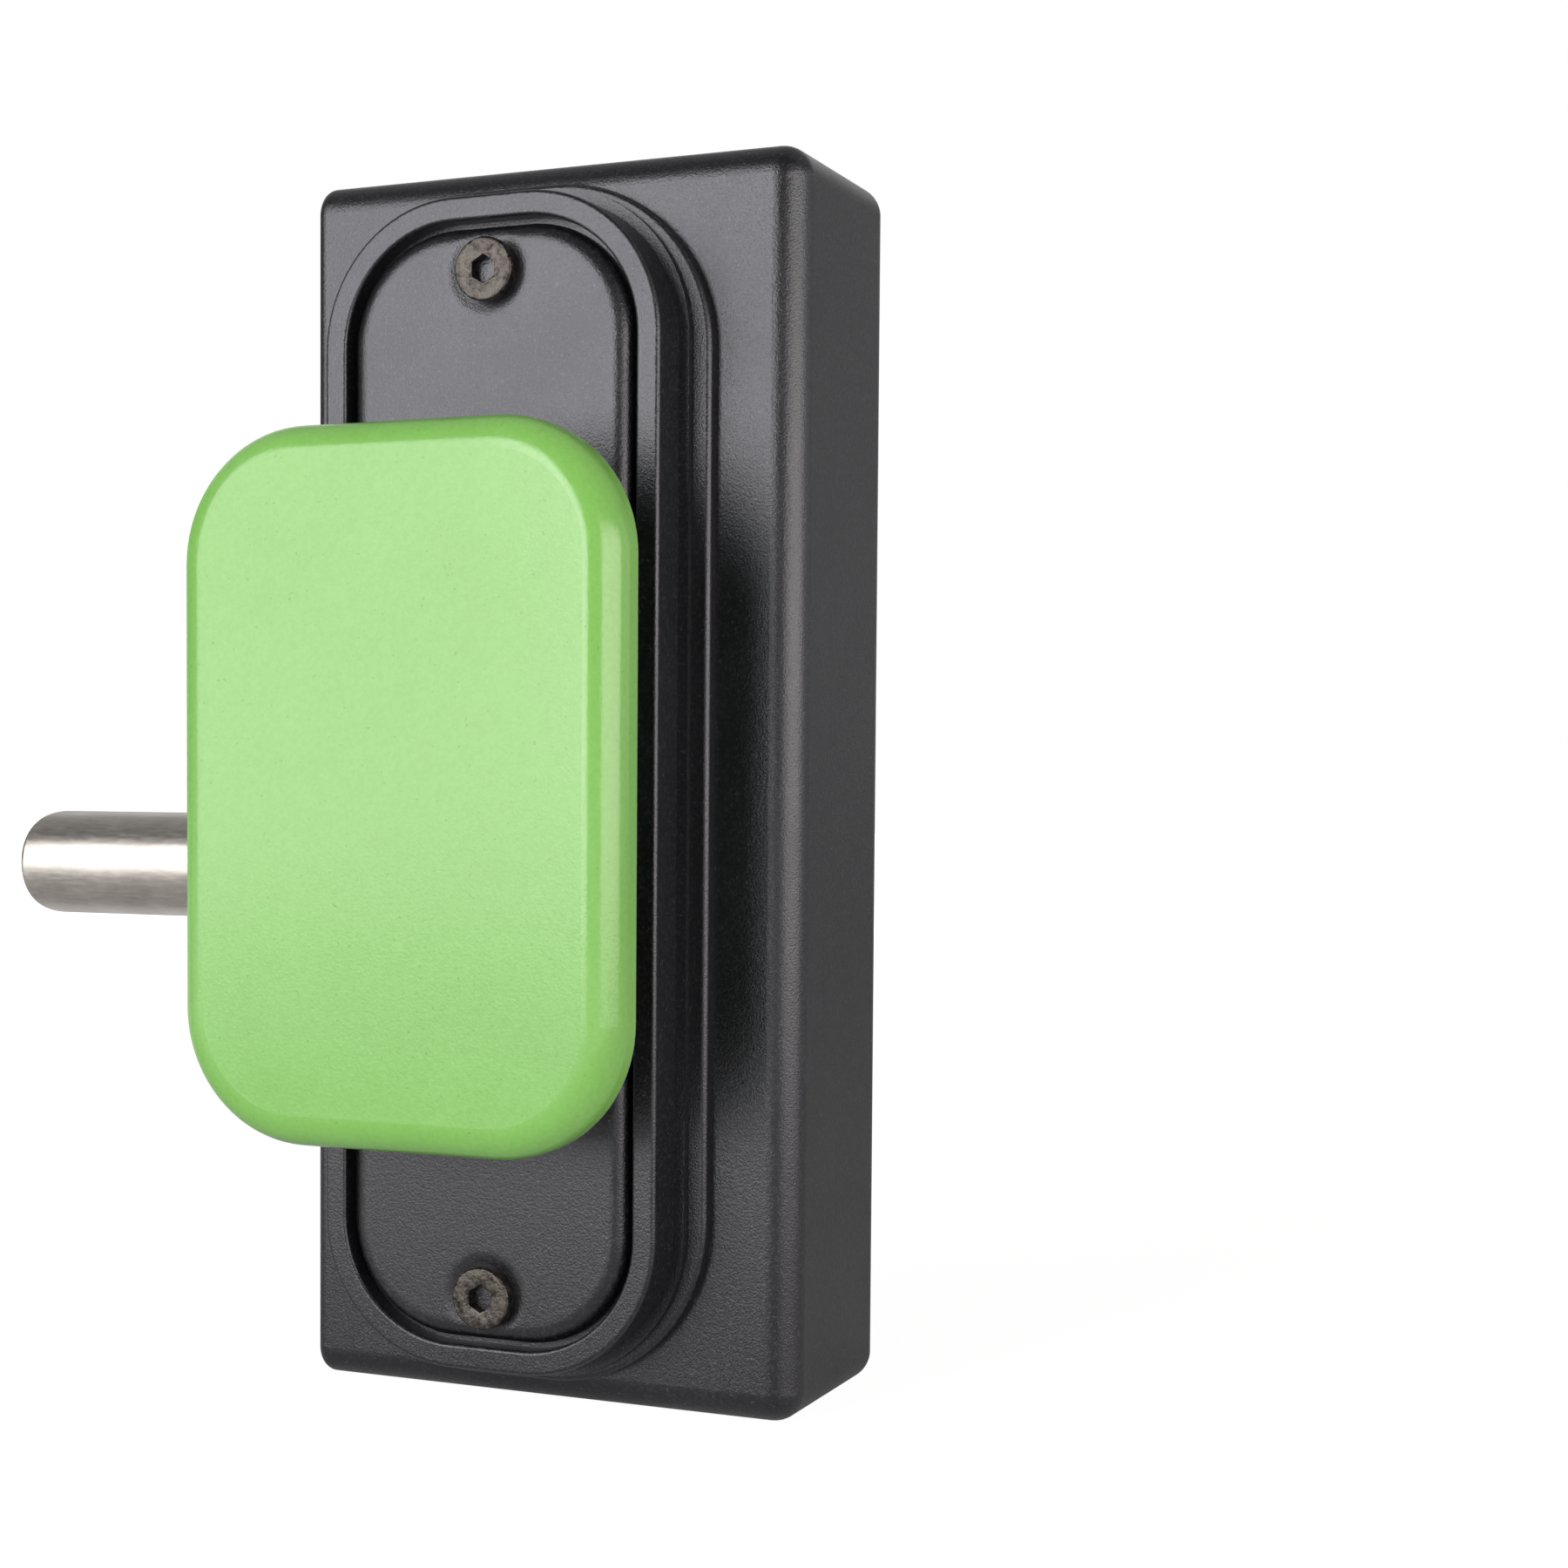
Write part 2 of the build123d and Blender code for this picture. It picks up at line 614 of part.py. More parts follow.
# Cam plates: an angle each, with a sloping slot that gives the bolt twice the pad's travel
cam_slope = Vector(bolt_travel, -pad_travel)
cam_angle = degrees(atan2(cam_slope.Y, cam_slope.X))
cam_slot_width = cross_pin_diameter + 2 * cam_slot_clearance
cam_outline_width = cam_slot_width + 2 * cam_margin
flange_left_x = side_centre_x - flange_width / 2
flange_right_x = side_centre_x + flange_width / 2
for cam_name, side in zip(("upper_cam_plate", "lower_cam_plate"), sides):
    cam_web_z = bolt_axis_z + min(side * cam_inner_z, side * cam_outer_z)
    cam_tab_z = bolt_axis_z + side * (cam_inner_z + tab_height / 2)
    with BuildPart() as cam_plate:
        with BuildSketch(Plane.XY.offset(cam_web_z)):
            with BuildLine():
                Polyline(
                    (flange_left_x, -flange_back),
                    (flange_right_x, -flange_back),
                    (flange_right_x, -flange_back + cam_margin),
                    (cross_pin_x + bolt_travel, -pad_travel),
                    (cross_pin_x, 0),
                    (flange_left_x, -cam_pin_radius),
                    close=True,
                )
            make_face()
            with Locations((cross_pin_x + bolt_travel / 2, -pad_travel / 2)):
                SlotCenterToCenter(cam_slope.length, cam_outline_width, rotation=cam_angle)
                SlotCenterToCenter(
                    cam_slope.length, cam_slot_width, rotation=cam_angle, mode=Mode.SUBTRACT
                )
        extrude(amount=cam_thickness)
        with BuildSketch(Plane.XZ.offset(tab_back)) as tab_outline:
            with Locations((side_centre_x, cam_tab_z)):
                Rectangle(flange_width, tab_height)
        extrude(amount=tab_thickness)
        with BuildSketch(Plane.XZ.offset(tab_back)) as tab_holes:
            rivet_z = cam_tab_z + side * (tab_height / 2 - rivet_edge_distance)
            with Locations((side_centre_x, rivet_z)):
                with GridLocations(flange_width - 2 * rivet_edge_distance, 0, 2, 1):
                    Circle(rivet_diameter / 2)
        extrude(amount=tab_thickness, mode=Mode.SUBTRACT)
    cam_plate.part.label = cam_name
    export_step(cam_plate.part, "parts/" + cam_name + ".step")

rivet_rows_z = [
    bolt_axis_z + side * (cam_inner_z + tab_height - rivet_edge_distance) for side in sides
]


# Rivets through the cam plates' tabs and the plunger's flange
with BuildPart() as cam_rivets:
    for rivet_z in rivet_rows_z:
        with BuildSketch(Plane.XZ.offset(tab_back)) as rivet_shank:
            with Locations((side_centre_x, rivet_z)):
                with GridLocations(flange_width - 2 * rivet_edge_distance, 0, 2, 1):
                    Circle(rivet_diameter / 2)
        extrude(amount=tab_thickness + flange_thickness)
        with BuildSketch(Plane.XZ.offset(tab_back)) as rivet_head:
            with Locations((side_centre_x, rivet_z)):
                with GridLocations(flange_width - 2 * rivet_edge_distance, 0, 2, 1):
                    Circle(rivet_head_diameter / 2)
        extrude(amount=-rivet_head_height)
cam_rivets.part.label = "cam_rivets"
export_step(cam_rivets.part, "parts/cam_rivets.step")


# Return spring between the carriage and the guide frame's rear web
spring_front_x = carriage_rear_x + spring_wire / 2 + spring_end_gap
spring_rear_x = frame_rear_x - frame_thickness - spring_wire / 2 - spring_end_gap
spring_length = spring_rear_x - spring_front_x
with BuildPart() as return_spring:
    with BuildLine() as spring_line:
        Helix(
            spring_length / spring_turns,
            spring_length,
            (spring_diameter - spring_wire) / 2,
            center=(spring_front_x, 0, bolt_axis_z),
            direction=(1, 0, 0),
        )
    with BuildSketch(Plane(origin=spring_line.line @ 0, z_dir=spring_line.line % 0)):
        Circle(spring_wire / 2)
    sweep(path=spring_line.line, is_frenet=True)
return_spring.part.label = "return_spring"
export_step(return_spring.part, "parts/return_spring.step")


# Plunger: the pad's stem, with a flange behind the front plate that stops it
with BuildPart() as push_plunger:
    with BuildSketch(Plane.XZ.offset(flange_back)):
        with Locations((side_centre_x, (flange_top_z + flange_bottom_z) / 2)):
            RectangleRounded(flange_width, flange_top_z - flange_bottom_z, flange_radius)
    extrude(amount=flange_thickness)
    with BuildSketch(Plane.XZ.offset(flange_back)) as stem_outline:
        with Locations((side_centre_x, 0)):
            RectangleRounded(stem_width, stem_height, stem_radius)
    extrude(amount=stem_end - flange_back)
    with BuildSketch(Plane.XZ.offset(flange_back)) as stem_holes:
        with Locations((side_centre_x, 0)):
            with GridLocations(0, pad_screw_spacing, 1, 2):
                Circle(pad_screw_diameter / 2 + screw_clearance)
    extrude(amount=stem_end - flange_back, mode=Mode.SUBTRACT)
    with BuildSketch(Plane.XZ.offset(flange_back)) as stem_seats:
        with Locations((side_centre_x, 0)):
            with GridLocations(0, pad_screw_spacing, 1, 2):
                Circle(pad_screw_head_diameter / 2 + screw_clearance)
    extrude(amount=pad_screw_head_height, mode=Mode.SUBTRACT)
    for rivet_z in rivet_rows_z:
        with BuildSketch(Plane.XZ.offset(flange_back)) as flange_rivet_holes:
            with Locations((side_centre_x, rivet_z)):
                with GridLocations(flange_width - 2 * rivet_edge_distance, 0, 2, 1):
                    Circle(rivet_diameter / 2)
        extrude(amount=flange_thickness, mode=Mode.SUBTRACT)
push_plunger.part.label = "push_plunger"
export_step(push_plunger.part, "parts/push_plunger.step")


# Push pad: a hollow moulded shell with a boss on the stem and stiffening ribs
with BuildPart() as push_pad:
    with BuildSketch(Plane.XZ.offset(pad_rim)):
        with Locations((pad_centre_x, 0)):
            RectangleRounded(pad_width, pad_height, pad_radius)
    extrude(amount=pad_thickness)
    fillet(push_pad.faces().sort_by(Axis.Y)[0].edges(), pad_edge_radius)
    fillet(push_pad.faces().sort_by(Axis.Y)[-1].edges(), pad_rim_radius)
    with BuildSketch(Plane.XZ.offset(pad_rim)) as pad_hollow:
        with Locations((pad_centre_x, 0)):
            RectangleRounded(
                pad_width - 2 * pad_wall,
                pad_height - 2 * pad_wall,
                pad_radius - pad_wall,
            )
    extrude(amount=pad_inner - pad_rim, mode=Mode.SUBTRACT)
    with BuildSketch(Plane.XZ.offset(stem_end)) as pad_boss:
        with Locations((side_centre_x, 0)):
            RectangleRounded(
                stem_width + 2 * pad_boss_margin,
                stem_height + 2 * pad_boss_margin,
                stem_radius + pad_boss_margin,
            )
    extrude(amount=pad_inner - stem_end)
    with BuildSketch(Plane.XZ.offset(pad_rim + pad_rib_thickness)) as pad_ribs:
        with Locations((pad_centre_x, 0)):
            Rectangle(pad_width - 2 * pad_wall, pad_rib_thickness)
        with Locations((side_centre_x, 0)):
            Rectangle(pad_rib_thickness, pad_height - 2 * pad_wall)
    extrude(amount=pad_inner - pad_rim - pad_rib_thickness)
    with BuildSketch(Plane.XZ.offset(stem_end)) as pad_screw_holes:
        with Locations((side_centre_x, 0)):
            with GridLocations(0, pad_screw_spacing, 1, 2):
                Circle(pad_screw_diameter / 2)
    extrude(amount=pad_inner - stem_end, mode=Mode.SUBTRACT)
push_pad.part.label = "push_pad"
export_step(push_pad.part, "parts/push_pad.step")


# Screws that hold the pad on its stem, put in from the flange's side
with BuildPart() as pad_screws:
    with BuildSketch(Plane.XZ.offset(flange_back)):
        with Locations((side_centre_x, 0)):
            with GridLocations(0, pad_screw_spacing, 1, 2):
                Circle(pad_screw_head_diameter / 2)
    extrude(amount=pad_screw_head_height)
    with BuildSketch(Plane.XZ.offset(flange_back)) as pad_screw_shanks:
        with Locations((side_centre_x, 0)):
            with GridLocations(0, pad_screw_spacing, 1, 2):
                Circle(pad_screw_diameter / 2)
    extrude(amount=pad_inner - flange_back)
pad_screws.part.label = "pad_screws"
export_step(pad_screws.part, "parts/pad_screws.step")
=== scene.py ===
"""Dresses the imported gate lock: finishes, thread detail, studio and camera."""

import json
import logging
import math
from collections.abc import Sequence
from dataclasses import dataclass
from enum import Enum

import bmesh
import bpy
from mathutils import Euler, Matrix, Vector


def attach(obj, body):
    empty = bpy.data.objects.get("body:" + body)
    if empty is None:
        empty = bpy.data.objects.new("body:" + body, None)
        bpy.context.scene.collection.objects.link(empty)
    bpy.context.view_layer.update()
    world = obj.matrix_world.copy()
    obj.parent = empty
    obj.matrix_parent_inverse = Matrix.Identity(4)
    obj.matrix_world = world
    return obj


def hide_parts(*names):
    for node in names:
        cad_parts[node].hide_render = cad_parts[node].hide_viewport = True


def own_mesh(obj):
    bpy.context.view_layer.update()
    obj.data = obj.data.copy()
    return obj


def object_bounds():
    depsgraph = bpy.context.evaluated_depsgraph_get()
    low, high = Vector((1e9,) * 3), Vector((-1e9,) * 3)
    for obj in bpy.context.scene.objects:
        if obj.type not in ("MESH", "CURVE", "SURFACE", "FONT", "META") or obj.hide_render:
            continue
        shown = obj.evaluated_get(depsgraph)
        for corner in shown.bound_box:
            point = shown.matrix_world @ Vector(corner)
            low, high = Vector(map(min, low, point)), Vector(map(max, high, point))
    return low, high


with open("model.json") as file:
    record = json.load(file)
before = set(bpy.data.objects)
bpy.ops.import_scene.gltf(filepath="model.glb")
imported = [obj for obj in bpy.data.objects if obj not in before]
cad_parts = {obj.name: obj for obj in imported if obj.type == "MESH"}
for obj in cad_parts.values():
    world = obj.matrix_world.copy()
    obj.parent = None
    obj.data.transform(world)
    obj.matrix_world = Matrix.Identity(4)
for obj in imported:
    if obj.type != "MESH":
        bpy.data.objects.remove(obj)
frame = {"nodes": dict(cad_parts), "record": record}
cad_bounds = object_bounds()

MM = 0.001
PLATE_CENTRE_X = 33.0
SCREW_Z = 69.0
BOLT_AXIS_Z = -12.5
WELD_PIN_HEIGHTS = (55.9, -46.6)
log = logging.getLogger("gate_lock")

Socket = bpy.types.NodeSocket
Node = bpy.types.Node
Object = bpy.types.Object
Material = bpy.types.Material
Shape = bmesh.types.BMesh
Vert = bmesh.types.BMVert
Point = tuple[float, float]
Place = tuple[float, float, float]
Colour = tuple[float, float, float]
Loop = list[Place]
Section = list[tuple[list[Point], float]]
Feeds = dict[str | int, object]


class Body(Enum):
    """The rigid bodies that this script's own pieces ride on."""

    CASE = "case"
    BOLT = "bolt"


class Grain(Enum):
    """How a metal's fine texture is laid."""

    EVEN = (1.0, 1.0, 1.0)
    ALONG_X = (0.2, 1.0, 1.0)


class TreeSheet:
    """Short calls for the nodes of one tree."""

    def __init__(self, tree: bpy.types.NodeTree) -> None:
        """Keeps the tree to add nodes to."""
        self.tree = tree

    def join(self, start: Socket, end: Socket) -> None:
        """Links one socket to another."""
        self.tree.links.new(start, end)

    def node(self, kind: str, feeds: Feeds | None = None, **settings: object) -> Node:
        """Adds a node, sets its properties and feeds its inputs.

        Args:
            kind: The node's type name.
            feeds: Input name or number to a socket or a plain value.
            **settings: Properties of the node.

        Returns:
            The new node.
        """
        made = self.tree.nodes.new(kind)
        for key, value in settings.items():
            setattr(made, key, value)
        for key, value in (feeds or {}).items():
            if isinstance(value, Socket):
                self.join(value, made.inputs[key])
            else:
                made.inputs[key].default_value = value
        return made


class ShaderSheet(TreeSheet):
    """Short calls for the nodes of one shader tree."""

    def __init__(self, tree: bpy.types.NodeTree, output: str) -> None:
        """Clears a tree and gives it an output.

        Args:
            tree: The node tree.
            output: The output node's type name.
        """
        super().__init__(tree)
        tree.nodes.clear()
        self.output = self.node(output)

    def ramp(self, value: Socket, low: Point, high: Point) -> Socket:
        """Maps a value from one span to another, clamped.

        Args:
            value: The socket to map.
            low: The value read and the value given at the low end.
            high: The same at the high end.

        Returns:
            The mapped value.
        """
        keys = ("Value", "From Min", "To Min", "From Max", "To Max")
        feeds = dict(zip(keys, (value, *low, *high)))
        return self.node("ShaderNodeMapRange", feeds, clamp=True).outputs["Result"]

    def rise(self, value: Socket, span: Point, top: float = 1.0) -> Socket:
        """Maps a span of a value to one from 0 to a top, clamped."""
        return self.ramp(value, (span[0], 0.0), (span[1], top))

    def maths(self, how: str, one: Socket, two: Socket | float) -> Socket:
        """Returns the result of a named Math operation on two values."""
        return self.node("ShaderNodeMath", {0: one, 1: two}, operation=how).outputs[0]

    def highest(self, first: Socket, *others: Socket | float) -> Socket:
        """Returns the highest of several values."""
        for other in others:
            first = self.maths("MAXIMUM", first, other)
        return first

    def split(self, vector: Socket) -> Node:
        """Returns a node that splits a vector into X, Y and Z."""
        return self.node("ShaderNodeSeparateXYZ", {0: vector})

    def towards(self, parts: Node, azimuth: float) -> Socket:
        """Measures how far a direction points to one side of the room.

        Args:
            parts: The direction, split into X, Y and Z.
            azimuth: The side, in degrees from the pad's side towards +X.

        Returns:
            The share, 1 where the direction points straight to that side.
        """
        turn = math.radians(azimuth)
        across = self.maths("MULTIPLY", parts.outputs["X"], math.sin(turn))
        along = self.maths("MULTIPLY", parts.outputs["Y"], -math.cos(turn))
        return self.maths("ADD", across, along)

    def finish(self, share: Socket, under: Node, over: Node) -> None:
        """Mixes two shaders and sends them to the output.

        Args:
            share: How much of the second shader shows, from 0 to 1.
            under: The first shader.
            over: The second shader.
        """
        feeds = {0: share, 1: under.outputs[0], 2: over.outputs[0]}
        mixed = self.node("ShaderNodeMixShader", feeds)
        self.join(mixed.outputs[0], self.output.inputs["Surface"])


class NodeSheet(ShaderSheet):
    """The nodes of one material."""

    def __init__(self, name: str) -> None:
        """Starts an empty material with an output.

        Args:
            name: The material's name.
        """
        self.material = bpy.data.materials.new(name)
        self.material.use_nodes = True
        super().__init__(self.material.node_tree, "ShaderNodeOutputMaterial")
        self.place = self.node("ShaderNodeTexCoord").outputs["Object"]

    def scaled(self, scale: Sequence[float], shift: Sequence[float] = (0, 0, 0)) -> Socket:
        """Returns object coordinates under a Mapping node.

        Args:
            scale: The scale on the three axes.
            shift: The place moved to the origin, in metres.

        Returns:
            The mapped vector.
        """
        moved = [-a * b for a, b in zip(shift, scale)]
        feeds = {"Vector": self.place, "Location": moved, "Scale": scale}
        return self.node("ShaderNodeMapping", feeds, vector_type="POINT").outputs["Vector"]

    def noise(
        self, scale: float, detail: float = 3.0, rough: float = 0.55, vector: Socket | None = None
    ) -> Socket:
        """Adds a noise texture and returns its value.

        Args:
            scale: Cells per metre.
            detail: Octaves.
            rough: How strong the fine octaves are.
            vector: Coordinates, or none for the plain object ones.

        Returns:
            The noise value.
        """
        feeds = {"Scale": scale, "Detail": detail, "Roughness": rough, "Vector": vector or self.place}
        return self.node("ShaderNodeTexNoise", feeds).outputs["Fac"]

    def dots(self, scale: float, shift: float, span: Point, share: float) -> Socket:
        """Returns the few highest spots of a fine noise that is shifted on every axis."""
        moved = self.scaled((1, 1, 1), (shift, shift, shift))
        return self.rise(self.noise(scale, detail=0.0, rough=0.5, vector=moved), span, share)

    def over(self, share: Socket, under: Socket | Colour, colour: Colour) -> Socket:
        """Lays a colour over another by a value.

        Args:
            share: How much of the colour shows, from 0 to 1.
            under: The colour below, a socket or a plain colour.
            colour: The colour on top.

        Returns:
            The mixed colour.
        """
        below = under if isinstance(under, Socket) else (*under, 1)
        feeds = {0: share, 6: below, 7: (*colour, 1)}
        return self.node("ShaderNodeMix", feeds, data_type="RGBA").outputs[2]

    def bump(self, height: Socket, depth: float) -> Socket:
        """Returns the normal of a height from 0 to 1, where 1 is a depth in metres."""
        feeds = {"Height": height, "Distance": depth, "Strength": 1.0}
        return self.node("ShaderNodeBump", feeds).outputs["Normal"]

    def surface(self, feeds: Feeds) -> Material:
        """Adds the shader and returns the finished material.

        Args:
            feeds: The shader's input name to a socket or a plain value.

        Returns:
            The finished material.
        """
        shader = self.node("ShaderNodeBsdfPrincipled", feeds)
        self.join(shader.outputs[0], self.output.inputs["Surface"])
        return self.material


def shade(colour: Colour, factor: float) -> Colour:
    """Returns a colour made lighter or darker by a factor."""
    return tuple(factor * channel for channel in colour)


@dataclass(frozen=True)
class PowderCoat:
    """Satin powder coat with a fine orange peel and a pale speckle."""

    name: str = "black_powder_coat"
    colour: Colour = (0.0038, 0.0041, 0.0054)
    speckle: Colour = (0.050, 0.050, 0.058)
    speck_scale: float = 1900.0
    speck_span: Point = (0.5, 0.72)
    speck_share: float = 0.55
    star_scale: float = 2300.0
    star_shift: float = 0.3
    star_span: Point = (0.76, 0.82)
    star_share: float = 0.3
    star_lift: float = 3.0
    cloud_scale: float = 55.0
    cloud_lift: float = 1.6
    roughness: float = 0.32
    smoother: float = 0.03
    rougher: float = 0.04
    gloss: float = 0.75
    tint: Colour = (0.95, 0.94, 1.0)
    peel_scale: float = 3400.0
    peel_depth: float = 0.00006

    def build(self) -> Material:
        """Returns the coat as a material."""
        sheet = NodeSheet(self.name)
        cloud = sheet.noise(self.cloud_scale)
        colour = sheet.over(cloud, self.colour, shade(self.colour, self.cloud_lift))
        grain = sheet.noise(self.speck_scale, rough=0.7)
        specks = sheet.rise(grain, self.speck_span)
        colour = sheet.over(sheet.maths("MULTIPLY", specks, self.speck_share), colour, self.speckle)
        stars = sheet.dots(self.star_scale, self.star_shift, self.star_span, self.star_share)
        colour = sheet.over(stars, colour, shade(self.speckle, self.star_lift))
        low, high = self.roughness - self.smoother, self.roughness + self.rougher
        peel = sheet.noise(self.peel_scale, detail=2.0, rough=0.6)
        return sheet.surface({
            "Base Color": colour,
            "Roughness": sheet.ramp(cloud, (0.3, low), (0.7, high)),
            "Specular IOR Level": self.gloss,
            "Specular Tint": (*self.tint, 1),
            "Normal": sheet.bump(peel, self.peel_depth),
        })


@dataclass(frozen=True)
class MouldedPad:
    """Light green moulded plastic with a fine grain and a few darker dots."""

    name: str = "green_pad"
    colour: Colour = (0.25, 0.555, 0.128)
    deep: Colour = (0.215, 0.50, 0.098)
    cloud_scale: float = 70.0
    cloud_span: Point = (0.3, 0.7)
    cloud_share: float = 0.4
    mottle_scale: float = 1500.0
    mottle_span: Point = (0.34, 0.66)
    mottle_share: float = 0.6
    dot_scale: float = 1900.0
    dot_shift: float = 0.2
    dot_span: Point = (0.8, 0.86)
    dot_share: float = 0.35
    dot_dark: float = 0.45
    roughness: float = 0.19
    smoother: float = 0.02
    rougher: float = 0.03
    gloss: float = 0.6
    grain_scale: float = 2600.0
    grain_depth: float = 0.00002

    def build(self) -> Material:
        """Returns the plastic as a material."""
        sheet = NodeSheet(self.name)
        wide = sheet.noise(self.cloud_scale, detail=4.0)
        cloud = sheet.rise(wide, self.cloud_span, self.cloud_share)
        small = sheet.noise(self.mottle_scale, detail=2.0, rough=0.6)
        mottle = sheet.rise(small, self.mottle_span, self.mottle_share)
        colour = sheet.over(sheet.maths("ADD", cloud, mottle), self.deep, self.colour)
        dots = sheet.dots(self.dot_scale, self.dot_shift, self.dot_span, self.dot_share)
        colour = sheet.over(dots, colour, shade(self.deep, self.dot_dark))
        low, high = self.roughness - self.smoother, self.roughness + self.rougher
        grain = sheet.noise(self.grain_scale, detail=2.0, rough=0.6)
        return sheet.surface({
            "Base Color": colour,
            "Roughness": sheet.ramp(cloud, (0.0, low), (self.cloud_share, high)),
            "Specular IOR Level": self.gloss,
            "Normal": sheet.bump(grain, self.grain_depth),
        })


@dataclass(frozen=True)
class Metal:
    """Bare metal with a grain that may be drawn out along one axis."""

    name: str
    colour: Colour
    dark: Colour
    roughness: float = 0.3
    spread: float = 0.06
    grain: Grain = Grain.EVEN
    grain_scale: float = 1200.0
    grain_depth: float = 0.00002
    cloud: float = 0.5
    cloud_scale: float = 120.0
    colour_span: Point = (0.36, 0.64)
    rough_span: Point = (0.3, 0.7)

    def base(self, sheet: NodeSheet) -> tuple[Socket, Socket]:
        """Makes the grain and the colour.

        Args:
            sheet: The material's nodes.

        Returns:
            The grain value and the colour.
        """
        fine = sheet.noise(self.grain_scale, rough=0.6, vector=sheet.scaled(self.grain.value))
        cloud = sheet.noise(self.cloud_scale, detail=4.0, rough=0.6)
        weighed = sheet.maths("MULTIPLY", cloud, self.cloud)
        mixed = sheet.maths("ADD", sheet.maths("MULTIPLY", fine, 1.0 - self.cloud), weighed)
        share = sheet.rise(mixed, self.colour_span)
        return fine, sheet.over(share, self.dark, self.colour)

    def build(self) -> Material:
        """Returns the metal as a material."""
        sheet = NodeSheet(self.name)
        fine, colour = self.base(sheet)
        low = (self.rough_span[0], self.roughness - self.spread)
        high = (self.rough_span[1], self.roughness + self.spread)
        return sheet.surface({
            "Base Color": colour,
            "Metallic": 1.0,
            "Roughness": sheet.ramp(fine, low, high),
            "Normal": sheet.bump(fine, self.grain_depth),
        })


@dataclass(frozen=True)
class HeatTintedPlate(Metal):
    """Blasted bare steel with brown rings round the ends of the welded pins."""

    pin_heights: tuple[float, ...] = WELD_PIN_HEIGHTS
    ring_radius: float = 0.0031
    ring_width: float = 0.0014
    ring_share: float = 0.75
    wobble: float = 0.0006
    wobble_scale: float = 420.0
    tint: Colour = (0.13, 0.09, 0.045)

    def ring(self, sheet: NodeSheet, height: float) -> Socket:
        """Makes one ring of tint.

        Args:
            sheet: The material's nodes.
            height: The pin's height, in metres.

        Returns:
            The ring's strength, from 0 to 1.
        """
        parts = sheet.split(sheet.scaled((1.0, 1.0, 1.0), (0.0, 0.0, height)))
        square = sheet.maths("MULTIPLY", parts.outputs["Y"], parts.outputs["Y"])
        rise = sheet.maths("MULTIPLY", parts.outputs["Z"], parts.outputs["Z"])
        reach = sheet.maths("SQRT", sheet.maths("ADD", square, rise), 0.0)
        wide = sheet.noise(self.wobble_scale, detail=2.0)
        wobble = sheet.ramp(wide, (0.3, -self.wobble), (0.7, self.wobble))
        away = sheet.maths("SUBTRACT", sheet.maths("ADD", reach, wobble), self.ring_radius)
        away = sheet.maths("ABSOLUTE", away, 0.0)
        return sheet.ramp(away, (0.0, self.ring_share), (self.ring_width, 0.0))

    def base(self, sheet: NodeSheet) -> tuple[Socket, Socket]:
        """Makes the grain and the colour, with the rings on it.

        Args:
            sheet: The material's nodes.

        Returns:
            The grain value and the colour.
        """
        fine, colour = super().base(sheet)
        for height in self.pin_heights:
            colour = sheet.over(self.ring(sheet, height * MM), colour, self.tint)
        return fine, colour


def link_object(name: str, data: bpy.types.ID) -> Object:
    """Puts a new object in the scene and returns it."""
    made = bpy.data.objects.new(name, data)
    bpy.context.scene.collection.objects.link(made)
    return made


class Recipe(TreeSheet):
    """Short calls for one Geometry Nodes tree with named inputs."""

    def __init__(self, name: str) -> None:
        """Starts a tree with one geometry output.

        Args:
            name: The tree's name.
        """
        super().__init__(bpy.data.node_groups.new(name, "GeometryNodeTree"))
        self.tree.interface.new_socket("Geometry", in_out="OUTPUT", socket_type="NodeSocketGeometry")
        self.start = self.node("NodeGroupInput")
        self.end = self.node("NodeGroupOutput")
        self.values: dict[str, object] = {}

    def ask(self, name: str, kind: str, value: object) -> Socket:
        """Adds a named input and returns its socket inside the tree.

        Args:
            name: The input's name.
            kind: The socket's type, such as Float.
            value: What the modifier gives it.

        Returns:
            The socket that carries the value.
        """
        made = self.tree.interface.new_socket(name, in_out="INPUT", socket_type="NodeSocket" + kind)
        self.values[made.identifier] = value
        return next(s for s in self.start.outputs if s.identifier == made.identifier)

    def bake(self, name: str, shape: Socket, material: Material) -> Object:
        """Ends the tree and turns its result into a plain mesh object.

        Args:
            name: The finished object's name.
            shape: The geometry to finish.
            material: The material that every face takes.

        Returns:
            The finished object, with no modifier left.
        """
        real = self.node("GeometryNodeRealizeInstances", {"Geometry": shape})
        feeds = {"Geometry": real.outputs[0], "Material": material}
        self.join(self.node("GeometryNodeSetMaterial", feeds).outputs[0], self.end.inputs[0])
        holder = link_object(name + "_recipe", bpy.data.meshes.new(name + "_recipe"))
        modifier = holder.modifiers.new("recipe", "NODES")
        modifier.node_group = self.tree
        for identifier, value in self.values.items():
            modifier[identifier] = value
        graph = bpy.context.evaluated_depsgraph_get()
        mesh = bpy.data.meshes.new_from_object(holder.evaluated_get(graph), depsgraph=graph)
        mesh.name = name
        holder.modifiers.remove(modifier)
        bpy.data.objects.remove(holder)
        return link_object(name, mesh)


def crease(piece: Object, degrees: float) -> None:
    """Shades a piece smoothly between edges that turn more sharply than an angle."""
    piece.data.shade_smooth()
    piece.data.set_sharp_from_angle(angle=math.radians(degrees))


